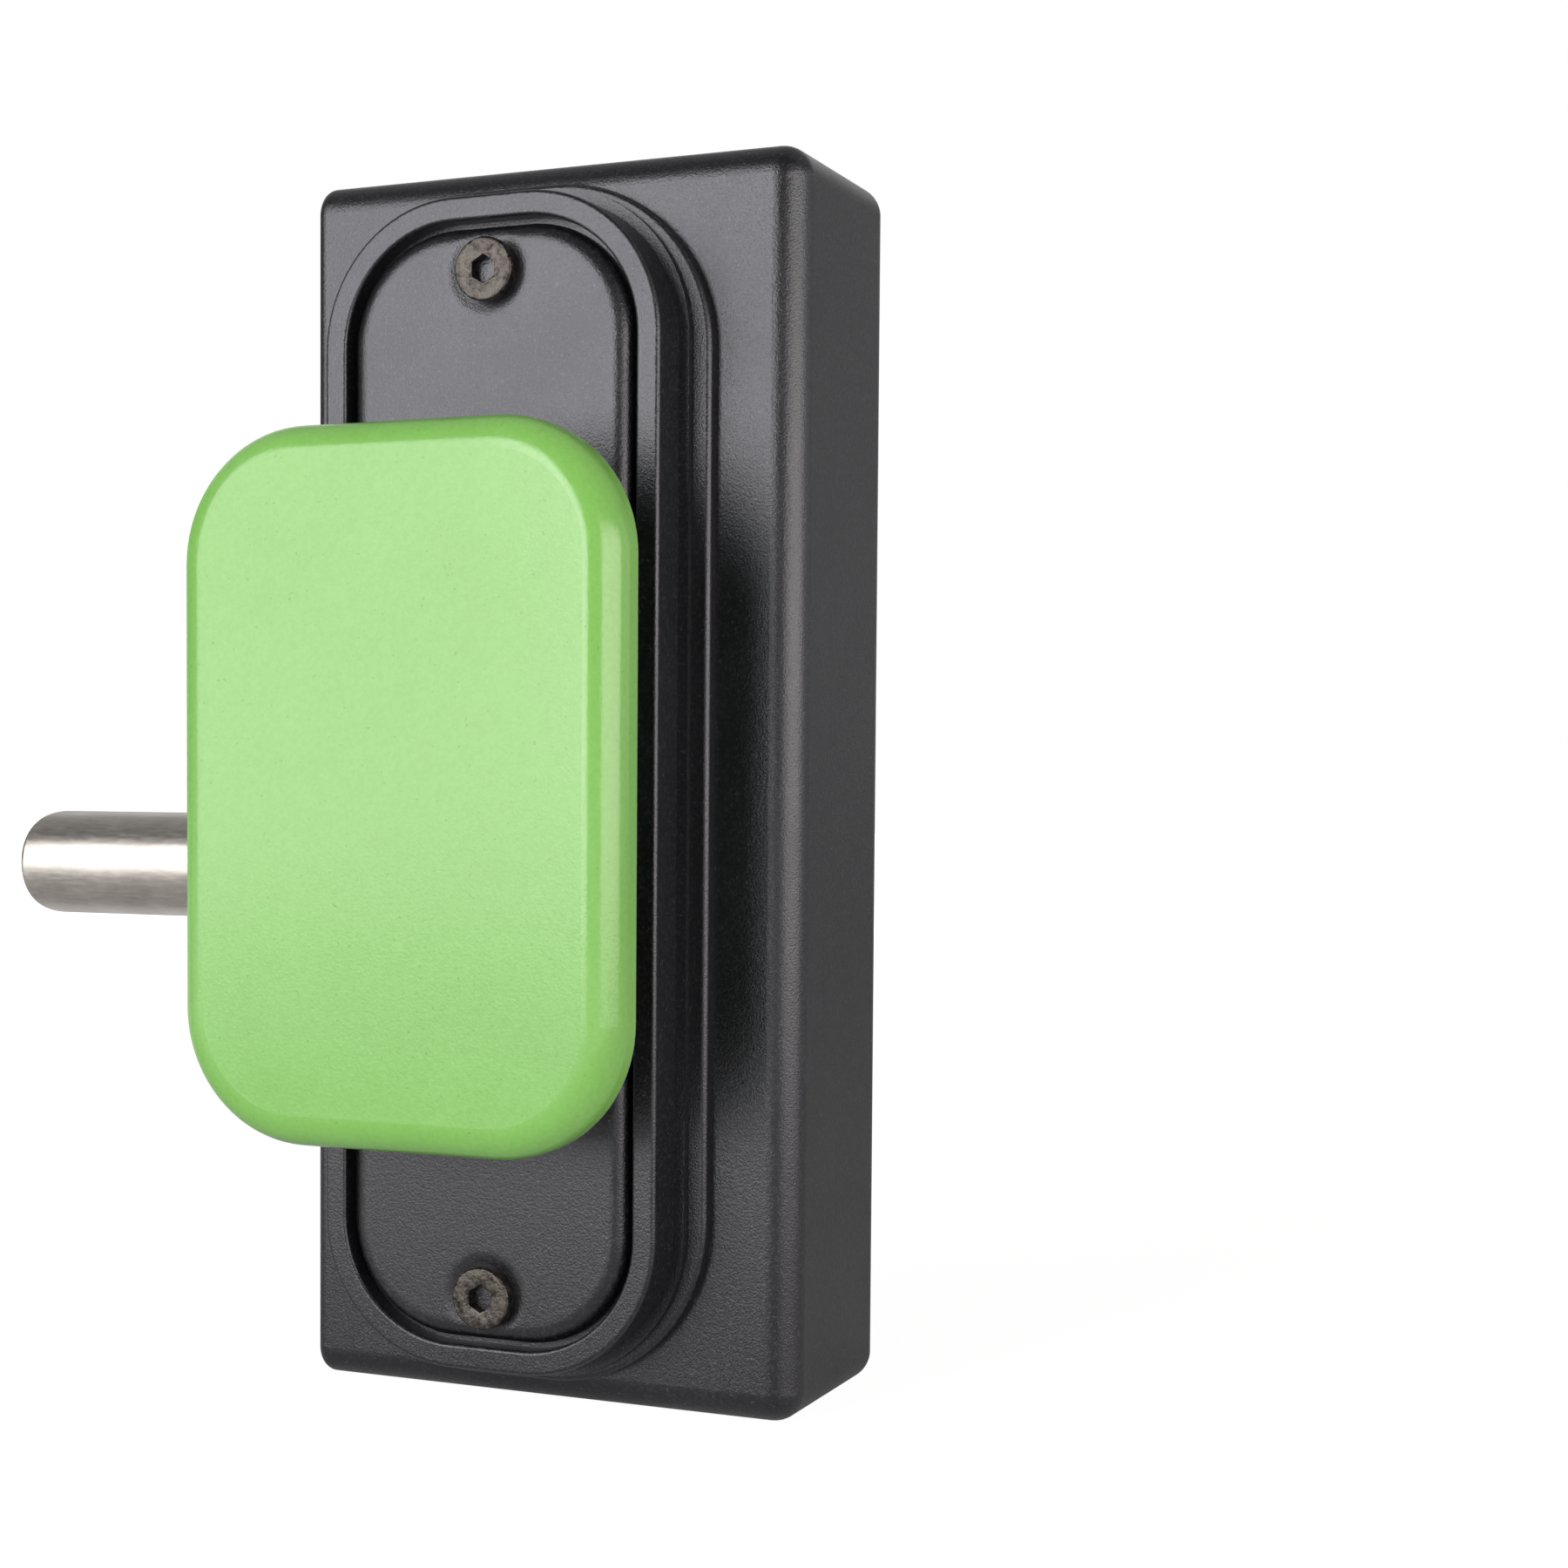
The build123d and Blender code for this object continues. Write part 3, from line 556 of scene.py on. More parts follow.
def finish_piece(
    piece: Object,
    body: Body,
    material: Material,
    replaced: Sequence[str] = (),
) -> None:
    """Gives a piece its material and body, and hides the CAD nodes that it stands for.

    Args:
        piece: The finished object.
        body: The body that it rides on.
        material: Its material.
        replaced: CAD nodes that it stands for.
    """
    piece.data.materials.clear()
    piece.data.materials.append(material)
    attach(piece, body.value)
    if replaced:
        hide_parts(*replaced)
    log.info("%s: %d faces on %s", piece.name, len(piece.data.polygons), body.value)


def arc(centre: Point, radius: float, start: float, end: float, steps: int) -> list[Point]:
    """Returns the points of an arc between two angles in degrees, both ends included."""
    angles = [math.radians(start + (end - start) * i / steps) for i in range(steps + 1)]
    return [(centre[0] + radius * math.cos(a), centre[1] + radius * math.sin(a)) for a in angles]


def circle(height: float, radius: float, segments: int) -> list[Point]:
    """Returns a circle's points, as Y and Z, about an axis along X at a height."""
    return arc((0.0, height), radius, 0.0, 360.0, segments)[:-1]


def quarter_round(radius: float, steps: int) -> list[Point]:
    """Returns a rounded edge's points, as distances from the side and from the face."""
    turns = [math.pi / 2 * i / steps for i in range(steps + 1)]
    return [(radius * (1 - math.cos(turn)), radius * (1 - math.sin(turn))) for turn in turns]


def between(start: Point, end: Point, share: float) -> Point:
    """Returns the point at a share of the way from one point to another."""
    return start[0] + (end[0] - start[0]) * share, start[1] + (end[1] - start[1]) * share


def strip(shape: Shape, low: list[Vert], high: list[Vert]) -> None:
    """Joins two closed loops of equal length with a band of faces."""
    for i, corner in enumerate(low):
        j = (i + 1) % len(low)
        shape.faces.new((corner, low[j], high[j], high[i]))


def skin(shape: Shape, rows: Sequence[Loop]) -> list[list[Vert]]:
    """Adds closed loops of points and joins each to the next.

    Args:
        shape: The shape to add to, in metres.
        rows: The loops, all of one length, in millimetres.

    Returns:
        The loops' corners.
    """
    loops = [[shape.verts.new([MM * c for c in place]) for place in row] for row in rows]
    for low, high in zip(loops, loops[1:]):
        strip(shape, low, high)
    return loops


def close_shape(shape: Shape, name: str) -> Object:
    """Turns a finished shape into an object, with its faces outwards.

    Args:
        shape: The shape, in metres.
        name: The object's name.

    Returns:
        The object, with its place in its mesh.
    """
    bmesh.ops.recalc_face_normals(shape, faces=shape.faces)
    made = link_object(name, bpy.data.meshes.new(name))
    shape.to_mesh(made.data)
    shape.free()
    return made


def capped(rows: Sequence[Loop], name: str) -> Object:
    """Turns loops of points into a closed piece with a flat cap on both ends.

    Args:
        rows: The loops, all of one length, in millimetres.
        name: The piece's name.

    Returns:
        The piece.
    """
    shape = bmesh.new()
    loops = skin(shape, rows)
    shape.faces.new(loops[0])
    shape.faces.new(loops[-1])
    return close_shape(shape, name)


def ease(value: float, start: float, end: float) -> float:
    """Returns a smooth step from 0 at start to 1 at end."""
    share = min(max((value - start) / (end - start), 0.0), 1.0)
    return share * share * (3 - 2 * share)


@dataclass
class RoundedOutline:
    """A rectangle with round corners about a centre line, in millimetres."""

    centre: float
    width: float
    height: float
    radius: float
    corner_steps: int = 14
    side_steps: int = 1
    end_steps: int = 1
    least_radius: float = 0.05

    def inset(self, distance: float) -> list[Point]:
        """Returns the outline moved inwards.

        Args:
            distance: How far inwards; a negative value moves it outwards.

        Returns:
            Its points, anticlockwise.
        """
        radius = max(self.radius - distance, self.least_radius)
        half_x = self.width / 2 - distance - radius
        half_z = self.height / 2 - distance - radius
        corners = ((half_x, half_z), (-half_x, half_z), (-half_x, -half_z), (half_x, -half_z))
        bends = [
            arc((self.centre + x, z), radius, 90 * i, 90 * i + 90, self.corner_steps)
            for i, (x, z) in enumerate(corners)
        ]
        points: list[Point] = []
        for i, bend in enumerate(bends):
            last, goal = bend[-1], bends[(i + 1) % len(bends)][0]
            count = self.side_steps if i % 2 else self.end_steps
            points += bend + [between(last, goal, k / count) for k in range(1, count)]
        return points


@dataclass
class FrontPlate:
    """The front plate: a softly rolled edge and a shallow dimple round each screw."""

    outline: RoundedOutline
    opening: RoundedOutline
    back: float = 24.25
    face: float = 27.25
    roll: float = 2.6
    roll_steps: int = 10
    web_steps: int = 130
    dimple_depth: float = 0.4
    dimple_start: float = 4.0
    dimple_end: float = 6.2
    flat_weight: int = 100

    def dip(self, x: float, z: float) -> float:
        """Returns how far the face lies below its plane at a place."""
        away = math.hypot(x - self.outline.centre, abs(z) - SCREW_Z)
        return self.dimple_depth * (1 - ease(away, self.dimple_start, self.dimple_end))

    def rows(self) -> list[Loop]:
        """Returns the loops from the back's rim, over the roll and the face, to the opening."""
        rows = [[(x, -self.back, z) for x, z in self.outline.inset(0.0)]]
        for inset, drop in quarter_round(self.roll, self.roll_steps):
            height = self.face - drop
            share = (height - self.back) / (self.face - self.back)
            points = self.outline.inset(inset)
            rows.append([(x, -(height - share * self.dip(x, z)), z) for x, z in points])
        inner = self.opening.inset(0.0)
        pairs = list(zip(self.outline.inset(self.roll), inner))
        for i in range(1, self.web_steps + 1):
            points = [between(rim, hole, i / self.web_steps) for rim, hole in pairs]
            rows.append([(x, -(self.face - self.dip(x, z)), z) for x, z in points])
        rows.append([(x, -self.back, z) for x, z in inner])
        return rows

    def build(self, material: Material) -> None:
        """Builds the plate in the CAD node's place.

        Args:
            material: The coat on it.
        """
        shape = bmesh.new()
        loops = skin(shape, self.rows())
        strip(shape, loops[-1], loops[0])
        made = close_shape(shape, "front_plate_shell")
        made.data.shade_smooth()
        flats = made.modifiers.new("flat_faces", "WEIGHTED_NORMAL")
        flats.weight, flats.keep_sharp = self.flat_weight, True
        finish_piece(made, Body.CASE, material, ["front_plate"])


@dataclass
class Repeater:
    """Geometry Nodes that set copies of one shape in a row, in metres."""

    count: int
    start: Place
    step: Place

    def build(self, name: str, master: Object, material: Material) -> Object:
        """Copies a shape and removes the one that it was copied from.

        Args:
            name: The finished object's name.
            master: The shape to copy.
            material: The material that every copy takes.

        Returns:
            One mesh object with all copies.
        """
        recipe = Recipe(name + "_row")
        count = recipe.ask("Count", "Int", self.count)
        start = recipe.ask("Start", "Vector", self.start)
        step = recipe.ask("Step", "Vector", self.step)
        shape = recipe.ask("Shape", "Object", master)
        feeds = {"Count": count, "Start Location": start, "Offset": step}
        row = recipe.node("GeometryNodeMeshLine", feeds, mode="OFFSET")
        info = recipe.node("GeometryNodeObjectInfo", {"Object": shape}, transform_space="ORIGINAL")
        feeds = {"Points": row.outputs[0], "Instance": info.outputs["Geometry"]}
        copies = recipe.node("GeometryNodeInstanceOnPoints", feeds)
        made = recipe.bake(name, copies.outputs[0], material)
        bpy.data.objects.remove(master)
        return made


@dataclass
class SocketScrews:
    """The two socket screws that hold the front plate."""

    head_radius: float = 4.25
    shank_radius: float = 2.5
    top: float = 28.65
    seat: float = 25.25
    seat_chamfer: float = 0.15
    tip: float = 7.0
    edge: float = 0.35
    edge_steps: int = 4
    mouth_radius: float = 2.3
    mouth_depth: float = 0.14
    hex_flats: float = 3.4
    hex_depth: float = 2.2
    cone: float = 0.5
    cone_radius: float = 0.3
    segments: int = 72

    def ring(self, radius: float, height: float, hexagon: bool = False) -> Loop:
        """Returns one closed loop about the screw's axis.

        Args:
            radius: Its radius, or half the distance across flats of a hexagon.
            height: How far in front of the lock's middle plane it lies.
            hexagon: True for six straight sides.

        Returns:
            The points, in millimetres.
        """
        points = []
        for i in range(self.segments):
            turn = 2 * math.pi * i / self.segments
            reach = radius
            if hexagon:
                reach = radius / math.cos((turn + math.pi / 6) % (math.pi / 3) - math.pi / 6)
            points.append((reach * math.cos(turn), -height, reach * math.sin(turn)))
        return points

    def master(self) -> Object:
        """Returns one screw about the Y axis."""
        flats = self.hex_flats / 2
        floor = self.top - self.hex_depth
        rows = [
            self.ring(self.shank_radius, self.tip),
            self.ring(self.shank_radius, self.seat),
            self.ring(self.head_radius - self.seat_chamfer, self.seat),
            self.ring(self.head_radius, self.seat + self.seat_chamfer),
        ]
        for inset, drop in quarter_round(self.edge, self.edge_steps):
            rows.append(self.ring(self.head_radius - inset, self.top - drop))
        rows += [
            self.ring(self.mouth_radius, self.top),
            self.ring(flats, self.top - self.mouth_depth, hexagon=True),
            self.ring(flats, floor, hexagon=True),
            self.ring(self.cone_radius, floor - self.cone),
        ]
        return capped(rows, "front_screw")

    def build(self, material: Material) -> None:
        """Sets both screws in the front plate.

        Args:
            material: The steel of the screws.
        """
        place = (PLATE_CENTRE_X * MM, 0.0, -SCREW_Z * MM)
        repeater = Repeater(2, place, (0.0, 0.0, 2 * SCREW_Z * MM))
        made = repeater.build("front_socket_screws", self.master(), material)
        crease(made, 35.0)
        finish_piece(made, Body.CASE, material, ["front_plate_screws"])


@dataclass
class DrilledPlate:
    """The bare mounting plate with its holes and the threads in two of them."""

    outline: RoundedOutline
    thickness: float = 12.0
    edge: float = 0.5
    edge_steps: int = 4
    fixing_z: float = 75.0
    thread_radius: float = 6.05
    thread_start: float = 0.9
    core_radius: float = 5.1
    lip_chamfer: float = 0.25
    lip_depth: float = 0.6
    thread_pitch: float = 1.75
    ridge_half_width: float = 0.46
    crest_half_width: float = 0.15
    fade_steps: int = 12
    least_rise: float = 0.05
    bolt_hole_radius: float = 9.2
    bolt_hole_chamfer: float = 0.3
    bush_radius: float = 10.06
    bush_start: float = 3.0
    pin_radius: float = 2.5
    segments: int = 64
    turn_steps: int = 40

    def hole(self, height: float, steps: Sequence[Point]) -> Section:
        """Returns a hole's loops at a height, from pairs of a radius and a depth."""
        return [(circle(height, radius, self.segments), depth) for radius, depth in steps]

    def sections(self) -> list[Section]:
        """Returns the loops of the rim and of each hole, from the face to the back."""
        rim = [(self.outline.inset(a), b) for b, a in quarter_round(self.edge, self.edge_steps)]
        rim.append((self.outline.inset(0.0), self.thickness))
        core, root = self.core_radius, self.thread_radius
        fixing = [
            (core + self.lip_chamfer, 0.0), (core, self.lip_chamfer), (core, self.lip_depth),
            (root, self.thread_start), (root, self.thickness),
        ]
        bore, seat = self.bolt_hole_radius, self.bush_radius
        bolt = [
            (bore + self.bolt_hole_chamfer, 0.0), (bore, self.bolt_hole_chamfer),
            (bore, self.bush_start), (seat, self.bush_start), (seat, self.thickness),
        ]
        pin = [(self.pin_radius, 0.0), (self.pin_radius, self.thickness)]
        holes = [(self.fixing_z, fixing), (-self.fixing_z, fixing), (BOLT_AXIS_Z, bolt)]
        holes += [(height, pin) for height in WELD_PIN_HEIGHTS]
        return [rim, *(self.hole(height, steps) for height, steps in holes)]

    def slab(self) -> Object:
        """Returns the plate without its threads."""
        shape = bmesh.new()
        skins = [
            skin(shape, [[(x, y, z) for y, z in points] for points, x in section])
            for section in self.sections()
        ]
        for end in (0, -1):
            edges = [
                shape.edges.get((a, b))
                for loops in skins
                for a, b in zip(loops[end], loops[end][1:] + loops[end][:1])
            ]
            bmesh.ops.triangle_fill(shape, edges=edges, use_beauty=True, use_dissolve=False)
        return close_shape(shape, "mounting_plate_steel")

    def ridge(self) -> Object:
        """Returns one helical ridge about the X axis."""
        count = int((self.thickness - self.thread_pitch) / self.thread_pitch * self.turn_steps)
        half = self.thread_pitch * self.ridge_half_width
        flat = self.crest_half_width
        depth = self.thread_radius - self.core_radius
        rows = []
        for i in range(count + 1):
            turn = 2 * math.pi * i / self.turn_steps
            middle = self.thread_pitch * (0.5 + i / self.turn_steps)
            fade = min(1.0, i / self.fade_steps, (count - i) / self.fade_steps)
            root, crest = self.thread_radius, self.thread_radius - depth * max(fade, self.least_rise)
            section = ((root, -half), (crest, -flat), (crest, flat), (root, half))
            rows.append([
                (middle + x, reach * math.cos(turn), reach * math.sin(turn)) for reach, x in section
            ])
        return capped(rows, "thread_ridge")

    def build(self, material: Material) -> None:
        """Builds the plate and its threads in the CAD node's place.

        Args:
            material: The plate's steel.
        """
        made = self.slab()
        crease(made, 30.0)
        finish_piece(made, Body.CASE, material, ["mounting_plate"])
        low = (0.0, 0.0, -self.fixing_z * MM)
        repeater = Repeater(2, low, (0.0, 0.0, 2 * self.fixing_z * MM))
        threads = repeater.build("fixing_threads", self.ridge(), material)
        crease(threads, 30.0)
        finish_piece(threads, Body.CASE, material)


@dataclass
class LatchBar:
    """The latch bolt: a round bar with a curved bevel, a rounded nose rim and a small bore."""

    radius: float = 8.0
    nose_x: float = -59.1
    bevel_length: float = 10.0
    bevel_power: float = 1.85
    rim: float = 0.9
    rim_steps: int = 7
    face_steps: int = 16
    bore_radius: float = 2.5
    bore_depth: float = 12.0
    bore_chamfer: float = 0.25
    full_x: float = -46.0
    shoulder_x: float = 16.0
    shoulder_chamfer: float = 0.3
    tail_radius: float = 5.0
    tail_x: float = 31.0
    segments: int = 120

    def front(self, y: float) -> float:
        """Returns where the nose's surface lies at a distance towards the blank side."""
        share = (y + self.radius) / (2 * self.radius)
        return self.nose_x + self.bevel_length * max(share, 0.0) ** self.bevel_power

    def on_nose(self, reach: float, back: float) -> Loop:
        """Returns one loop at a reach from the bar's axis, some way behind the nose's surface."""
        points = circle(BOLT_AXIS_Z, reach, self.segments)
        return [(self.front(y) + back, y, z) for y, z in points]

    def straight(self, reach: float, x: float) -> Loop:
        """Returns one loop square to the bar's axis."""
        return [(x, y, z) for y, z in circle(BOLT_AXIS_Z, reach, self.segments)]

    def rows(self) -> list[Loop]:
        """Returns the loops from the bore's bottom, over the nose and the bar, to the tail."""
        mouth = self.bore_radius + self.bore_chamfer
        span = self.radius - self.rim - mouth
        rows = [
            self.straight(self.bore_radius, self.nose_x + self.bore_depth),
            self.on_nose(self.bore_radius, self.bore_chamfer),
            self.on_nose(mouth, 0.0),
        ]
        for i in range(1, self.face_steps):
            rows.append(self.on_nose(mouth + span * i / self.face_steps, 0.0))
        for back, inset in quarter_round(self.rim, self.rim_steps):
            rows.append(self.on_nose(self.radius - inset, back))
        return rows + [
            self.straight(self.radius, self.full_x),
            self.straight(self.radius, self.shoulder_x - self.shoulder_chamfer),
            self.straight(self.radius - self.shoulder_chamfer, self.shoulder_x),
            self.straight(self.tail_radius, self.shoulder_x),
            self.straight(self.tail_radius, self.tail_x),
        ]

    def build(self, material: Material) -> None:
        """Builds the bar in the CAD node's place.

        Args:
            material: The bar's steel.
        """
        made = capped(self.rows(), "latch_bar")
        crease(made, 28.0)
        finish_piece(made, Body.BOLT, material, ["latch_bolt"])


@dataclass
class ReturnCoil:
    """The return spring, built at one fixed length; in the lock it shortens as the bolt comes in."""

    front_x: float = 34.7
    rear_x: float = 68.1
    anchor_x: float = 68.8
    carriage_x: float = 34.1
    travel: float = 20.0
    radius: float = 5.4
    wire: float = 0.6
    turns: float = 8.0
    turn_steps: int = 36
    wire_steps: int = 12

    def path(self, recipe: Recipe) -> Socket:
        """Makes the coil's wire along the X axis.

        Args:
            recipe: The tree to add it to.

        Returns:
            The wire.
        """
        turns = recipe.ask("Turns", "Float", self.turns)
        reach = recipe.ask("Radius", "Float", self.radius * MM)
        length = recipe.ask("Length", "Float", (self.rear_x - self.front_x) * MM)
        wire = recipe.ask("Wire Radius", "Float", self.wire * MM)
        start = recipe.ask("Start", "Vector", (self.front_x * MM, 0.0, BOLT_AXIS_Z * MM))
        spiral = recipe.node("GeometryNodeCurveSpiral", {
            "Resolution": self.turn_steps, "Rotations": turns,
            "Start Radius": reach, "End Radius": reach, "Height": length,
        }).outputs[0]
        feeds = {"Resolution": self.wire_steps, "Radius": wire}
        section = recipe.node("GeometryNodeCurvePrimitiveCircle", feeds).outputs[0]
        feeds = {"Curve": spiral, "Profile Curve": section, "Fill Caps": True}
        tube = recipe.node("GeometryNodeCurveToMesh", feeds).outputs[0]
        feeds = {"Geometry": tube, "Translation": start, "Rotation": (0.0, math.pi / 2, 0.0)}
        return recipe.node("GeometryNodeTransform", feeds).outputs[0]

    def build(self, material: Material) -> None:
        """Builds the coil in the CAD node's place, on a mesh of its own.

        Args:
            material: The spring's steel.
        """
        recipe = Recipe("return_coil_path")
        made = recipe.bake("return_coil", self.path(recipe), material)
        crease(made, 60.0)
        finish_piece(made, Body.CASE, material, ["return_spring"])
        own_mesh(made)


@dataclass(frozen=True)
class PhotoCamera:
    """The camera that looks as the photograph does."""

    place: Place = (0.19520, -0.33627, 0.00292)
    yaw: float = -0.4206
    pitch: float = -0.0423
    roll: float = 0.0055
    focal_pixels: float = 2973.2
    axis_pixel: Point = (744.0, 1006.4)
    picture_pixels: float = 1800.0
    sensor_mm: float = 36.0
    clip_near: float = 0.01
    clip_far: float = 20.0

    def build(self) -> None:
        """Sets the camera up in its place."""
        data = bpy.data.cameras.new("photo_camera")
        data.sensor_width = self.sensor_mm
        data.lens = self.focal_pixels / self.picture_pixels * self.sensor_mm
        data.shift_x = 0.5 - self.axis_pixel[0] / self.picture_pixels
        data.shift_y = self.axis_pixel[1] / self.picture_pixels - 0.5
        data.clip_start = self.clip_near
        data.clip_end = self.clip_far
        made = link_object("photo_camera", data)
        made.location = self.place
        aim = Euler((math.pi / 2 + self.pitch, 0.0, -self.yaw), "XYZ").to_matrix()
        made.rotation_mode = "QUATERNION"
        made.rotation_quaternion = (aim @ Matrix.Rotation(self.roll, 3, "Z")).to_quaternion()
        bpy.context.scene.camera = made


@dataclass(frozen=True)
class Softbox:
    """A rectangular lamp that faces the lock.

    The azimuth counts from the pad's side towards +X, the lean turns the lamp in its own plane,
    and a radiance of 1 is as bright as the white background.
    """

    name: str
    azimuth: float
    elevation: float
    size: Point
    radiance: float
    lean: float = 0.0
    colour: Colour = (1.0, 1.0, 1.0)
    distance: float = 0.9
    target: Place = (0.03, 0.0, 0.0)

    def build(self) -> None:
        """Hangs the lamp."""
        data = bpy.data.lights.new(self.name, "AREA")
        data.shape = "RECTANGLE"
        data.size, data.size_y = self.size
        data.energy = self.radiance * math.pi * self.size[0] * self.size[1]
        data.color = self.colour
        made = link_object(self.name, data)
        a, e = math.radians(self.azimuth), math.radians(self.elevation)
        away = Vector((math.sin(a) * math.cos(e), -math.cos(a) * math.cos(e), math.sin(e)))
        made.location = Vector(self.target) + away * self.distance
        lean = Matrix.Rotation(math.radians(self.lean), 3, "Z")
        made.rotation_mode = "QUATERNION"
        made.rotation_quaternion = (away.to_track_quat("Z", "Y").to_matrix() @ lean).to_quaternion()


@dataclass(frozen=True)
class Backdrop:
    """The world: white behind the lock, dim in the room in front of it and overhead."""

    diffuse: float = 0.06
    room: float = 0.07
    azimuth: float = 206.0
    start: float = 0.93
    end: float = 0.45
    gloss: float = 0.5
    glow_start: float = 0.25
    glow_end: float = 0.4
    ceiling_start: float = 0.55
    ceiling_end: float = 0.75
    overhead_start: float = 0.3
    overhead_end: float = 0.6
    overhead_front: Point = (-0.45, 0.12)
    overhead_rear: Point = (0.2, 0.36)
    panel_azimuth: float = 126.0
    panel_edge: float = 0.90
    panel_core: float = 0.95
    panel_level: float = 0.8

    def reflected(self, sheet: ShaderSheet, parts: Node) -> Socket:
        """Makes the level that gloss on the lock reflects.

        Args:
            sheet: The world's nodes.
            parts: The direction, split into X, Y and Z.

        Returns:
            The level, where 1 is white.
        """
        up = parts.outputs["Z"]
        behind = sheet.towards(parts, self.azimuth)
        wall = sheet.ramp(behind, (self.end, self.room), (self.start, 1.0))
        low = sheet.ramp(up, (self.ceiling_start, 1.0), (self.ceiling_end, 0.0))
        rise = sheet.ramp(up, (self.glow_start, self.gloss), (self.glow_end, 1.0))
        wall = sheet.maths("MULTIPLY", sheet.maths("MULTIPLY", wall, low), rise)
        above = sheet.ramp(up, (self.overhead_start, self.room), (self.overhead_end, 1.0))
        rear = sheet.ramp(parts.outputs["Y"], self.overhead_front, self.overhead_rear)
        overhead = sheet.maths("MULTIPLY", above, rear)
        side = sheet.towards(parts, self.panel_azimuth)
        panel = sheet.ramp(side, (self.panel_edge, self.room), (self.panel_core, self.panel_level))
        return sheet.highest(wall, overhead, panel, self.room)

    def build(self) -> None:
        """Sets the world up."""
        world = bpy.data.worlds.new("studio")
        bpy.context.scene.world = world
        world.use_nodes = True
        sheet = ShaderSheet(world.node_tree, "ShaderNodeOutputWorld")
        path = sheet.node("ShaderNodeLightPath")
        eye = path.outputs["Is Camera Ray"]
        parts = sheet.split(sheet.node("ShaderNodeTexCoord").outputs["Generated"])
        level = sheet.highest(self.reflected(sheet, parts), eye)
        plain, white = (
            sheet.node("ShaderNodeBackground", {"Color": (1, 1, 1, 1), "Strength": strength})
            for strength in (self.diffuse, level)
        )
        seen = sheet.highest(eye, path.outputs["Is Glossy Ray"], path.outputs["Is Transmission Ray"])
        sheet.finish(seen, plain, white)


@dataclass(frozen=True)
class PaleFloor:
    """The floor that the lock stands on: white to the eye, with its shadow kept."""

    level: float
    size: float = 6.0
    grey: float = 0.8
    lift: float = 1.32
    eye_shade: float = 0.28
    eye_near: float = 0.3
    eye_far: float = 0.8
    gloss_shade: float = 0.9
    gloss_near: float = 0.13
    gloss_far: float = 0.32
    rear_left: Point = (0.03, 0.45)
    rear_right: Point = (0.11, 0.0)
    rear_span: Point = (0.0, 0.04)

    def white_share(self, sheet: NodeSheet) -> Socket:
        """Makes how much of plain white the eye and gloss see instead of the floor's own light.

        Args:
            sheet: The material's nodes.

        Returns:
            The share, from 0 to 1.
        """
        path = sheet.node("ShaderNodeLightPath")
        reach = sheet.node("ShaderNodeVectorMath", {0: sheet.place}, operation="LENGTH")
        far = sheet.ramp(
            reach.outputs["Value"], (self.eye_near, 1.0 - self.eye_shade), (self.eye_far, 1.0)
        )
        eye = sheet.maths("MULTIPLY", path.outputs["Is Camera Ray"], far)
        parts = sheet.split(sheet.place)
        x, y = parts.outputs["X"], parts.outputs["Y"]
        front = sheet.ramp(y, (-self.gloss_far, 1.0), (-self.gloss_near, 1.0 - self.gloss_shade))
        left = sheet.ramp(x, self.rear_left, self.rear_right)
        back = sheet.rise(y, self.rear_span)
        seen = sheet.highest(front, sheet.maths("MULTIPLY", left, back))
        return sheet.highest(eye, sheet.maths("MULTIPLY", path.outputs["Is Glossy Ray"], seen))

    def build(self) -> None:
        """Lays the floor."""
        half = self.size / 2
        corners = [(x * half, y * half, self.level) for x, y in ((-1, -1), (1, -1), (1, 1), (-1, 1))]
        data = bpy.data.meshes.new("floor")
        data.from_pydata(corners, [], [(0, 1, 2, 3)])
        made = link_object("floor", data)
        sheet = NodeSheet("pale_floor")
        white = sheet.node("ShaderNodeEmission", {"Strength": self.lift})
        matt = sheet.node("ShaderNodeBsdfDiffuse", {"Color": (self.grey, self.grey, self.grey, 1)})
        sheet.finish(self.white_share(sheet), matt, white)
        data.materials.append(sheet.material)


@dataclass(frozen=True)
class Studio:
    """The camera, the lamps, the background and the floor."""

    lamps: tuple[Softbox, ...] = (
        Softbox("left_softbox", -29.0, 9.0, (0.76, 0.84), radiance=3.7, lean=10.0),
        Softbox("left_softbox_core", -14.5, 11.0, (0.24, 0.6), radiance=2.8, lean=10.0),
        Softbox("right_softbox", 70.5, 3.0, (1.1, 0.56), radiance=4.2, colour=(1.0, 0.94, 0.9)),
    )

    def build(self) -> None:
        """Sets the whole studio up."""
        PhotoCamera().build()
        Backdrop().build()
        for lamp in self.lamps:
            lamp.build()
        PaleFloor(cad_bounds[0].z).build()


@dataclass
class CadDress:
    """Finishes for the CAD nodes that stay as they are."""

    finishes: dict[str, Material]

    def build(self) -> None:
        """Puts its material on every CAD node, by the record's slot."""
        for part in frame["record"]["subparts"]:
            materials = frame["nodes"][part["node"]].data.materials
            materials.clear()
            materials.append(self.finishes[part["material_slot"]])
            log.info("%s: finished", part["node"])


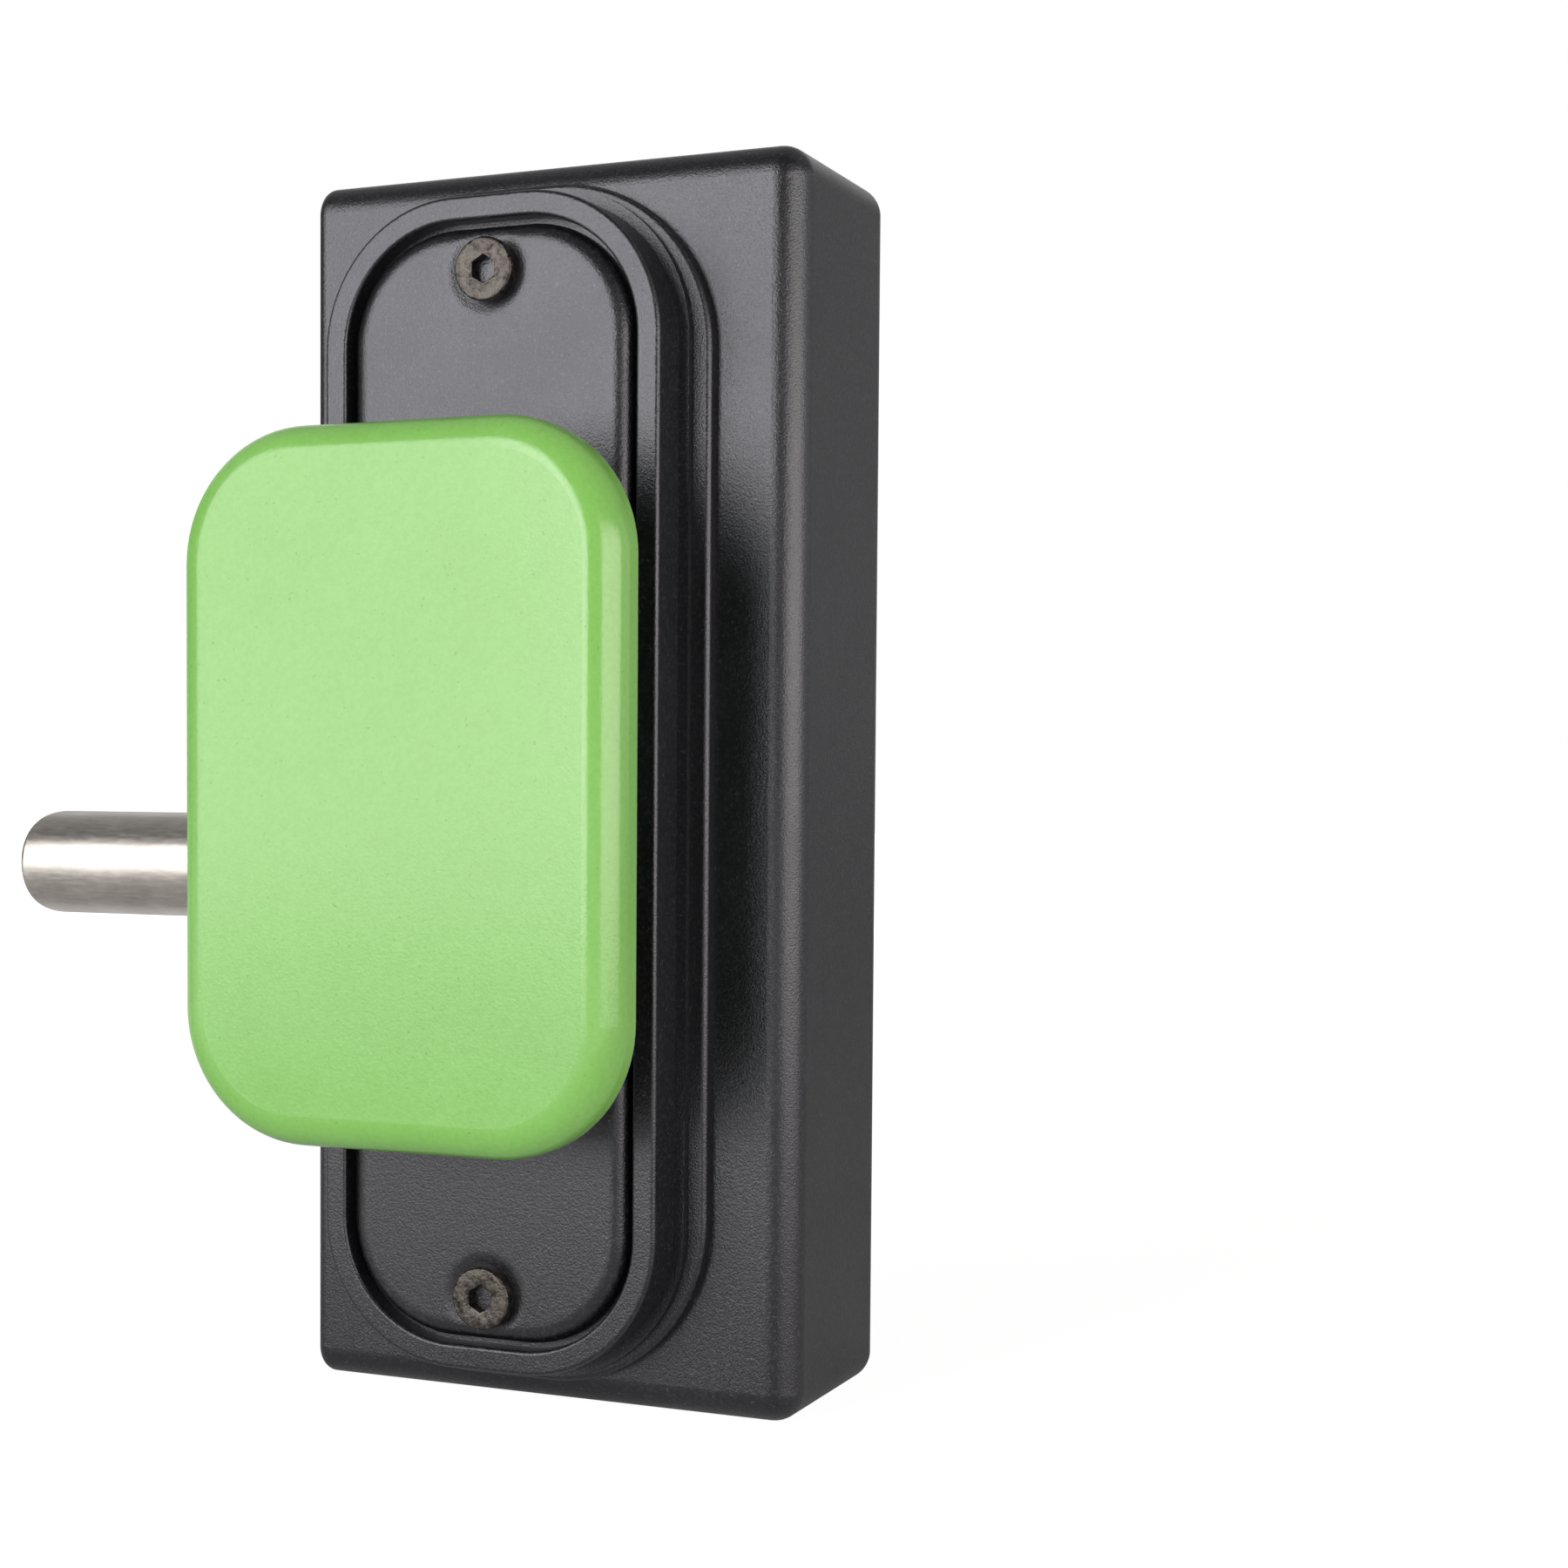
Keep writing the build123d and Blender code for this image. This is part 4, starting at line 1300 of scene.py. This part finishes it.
def make_finishes() -> dict[str, Material]:
    """Makes every material, by the record's slot name."""
    makers = (
        PowderCoat(),
        PowderCoat(
            "black_liner", (0.012, 0.012, 0.012), (0.02, 0.02, 0.02),
            roughness=0.5, gloss=0.5, peel_depth=0.00001,
        ),
        MouldedPad(),
        HeatTintedPlate(
            "bare_steel_plate", (0.36, 0.355, 0.34), (0.14, 0.137, 0.128),
            roughness=0.58, spread=0.08, grain_depth=0.00008, cloud=0.2,
        ),
        Metal("heat_tinted_steel", (0.135, 0.115, 0.088), (0.09, 0.074, 0.052), roughness=0.5),
        Metal(
            "stainless_bar", (0.66, 0.615, 0.57), (0.48, 0.44, 0.40),
            roughness=0.34, grain=Grain.ALONG_X, grain_scale=1900.0, grain_depth=0.000006,
        ),
        Metal(
            "worn_screw_steel", (0.13, 0.116, 0.103), (0.022, 0.019, 0.017),
            roughness=0.42, spread=0.14, grain_scale=1100.0, grain_depth=0.0002, cloud=0.3,
        ),
        Metal("cast_alloy", (0.5, 0.5, 0.5), (0.42, 0.42, 0.43), roughness=0.48, grain_depth=0.00005),
        Metal("zinc_plated_steel", (0.6, 0.6, 0.6), (0.48, 0.49, 0.5), roughness=0.36),
        Metal("inner_steel", (0.42, 0.42, 0.41), (0.34, 0.34, 0.34), roughness=0.34),
        Metal("spring_steel", (0.34, 0.34, 0.35), (0.26, 0.26, 0.26)),
    )
    return {maker.name: maker.build() for maker in makers}


def main() -> None:
    """Builds the lock's looks and the studio."""
    logging.basicConfig(level=logging.INFO, format="%(message)s")
    bpy.context.scene.view_settings.view_transform = "Standard"
    finishes = make_finishes()
    CadDress(finishes).build()
    steps = {"corner_steps": 40, "side_steps": 70, "end_steps": 22}
    FrontPlate(
        outline=RoundedOutline(PLATE_CENTRE_X, width=42.0, height=150.2, radius=15.5, **steps),
        opening=RoundedOutline(PLATE_CENTRE_X, width=20.0, height=28.0, radius=5.0, **steps),
    ).build(finishes["black_powder_coat"])
    SocketScrews().build(finishes["worn_screw_steel"])
    DrilledPlate(
        outline=RoundedOutline(0.0, width=28.8, height=164.6, radius=3.3, corner_steps=10)
    ).build(finishes["bare_steel_plate"])
    LatchBar().build(finishes["stainless_bar"])
    ReturnCoil().build(finishes["spring_steel"])
    Studio().build()


if __name__ == "__main__":
    main()
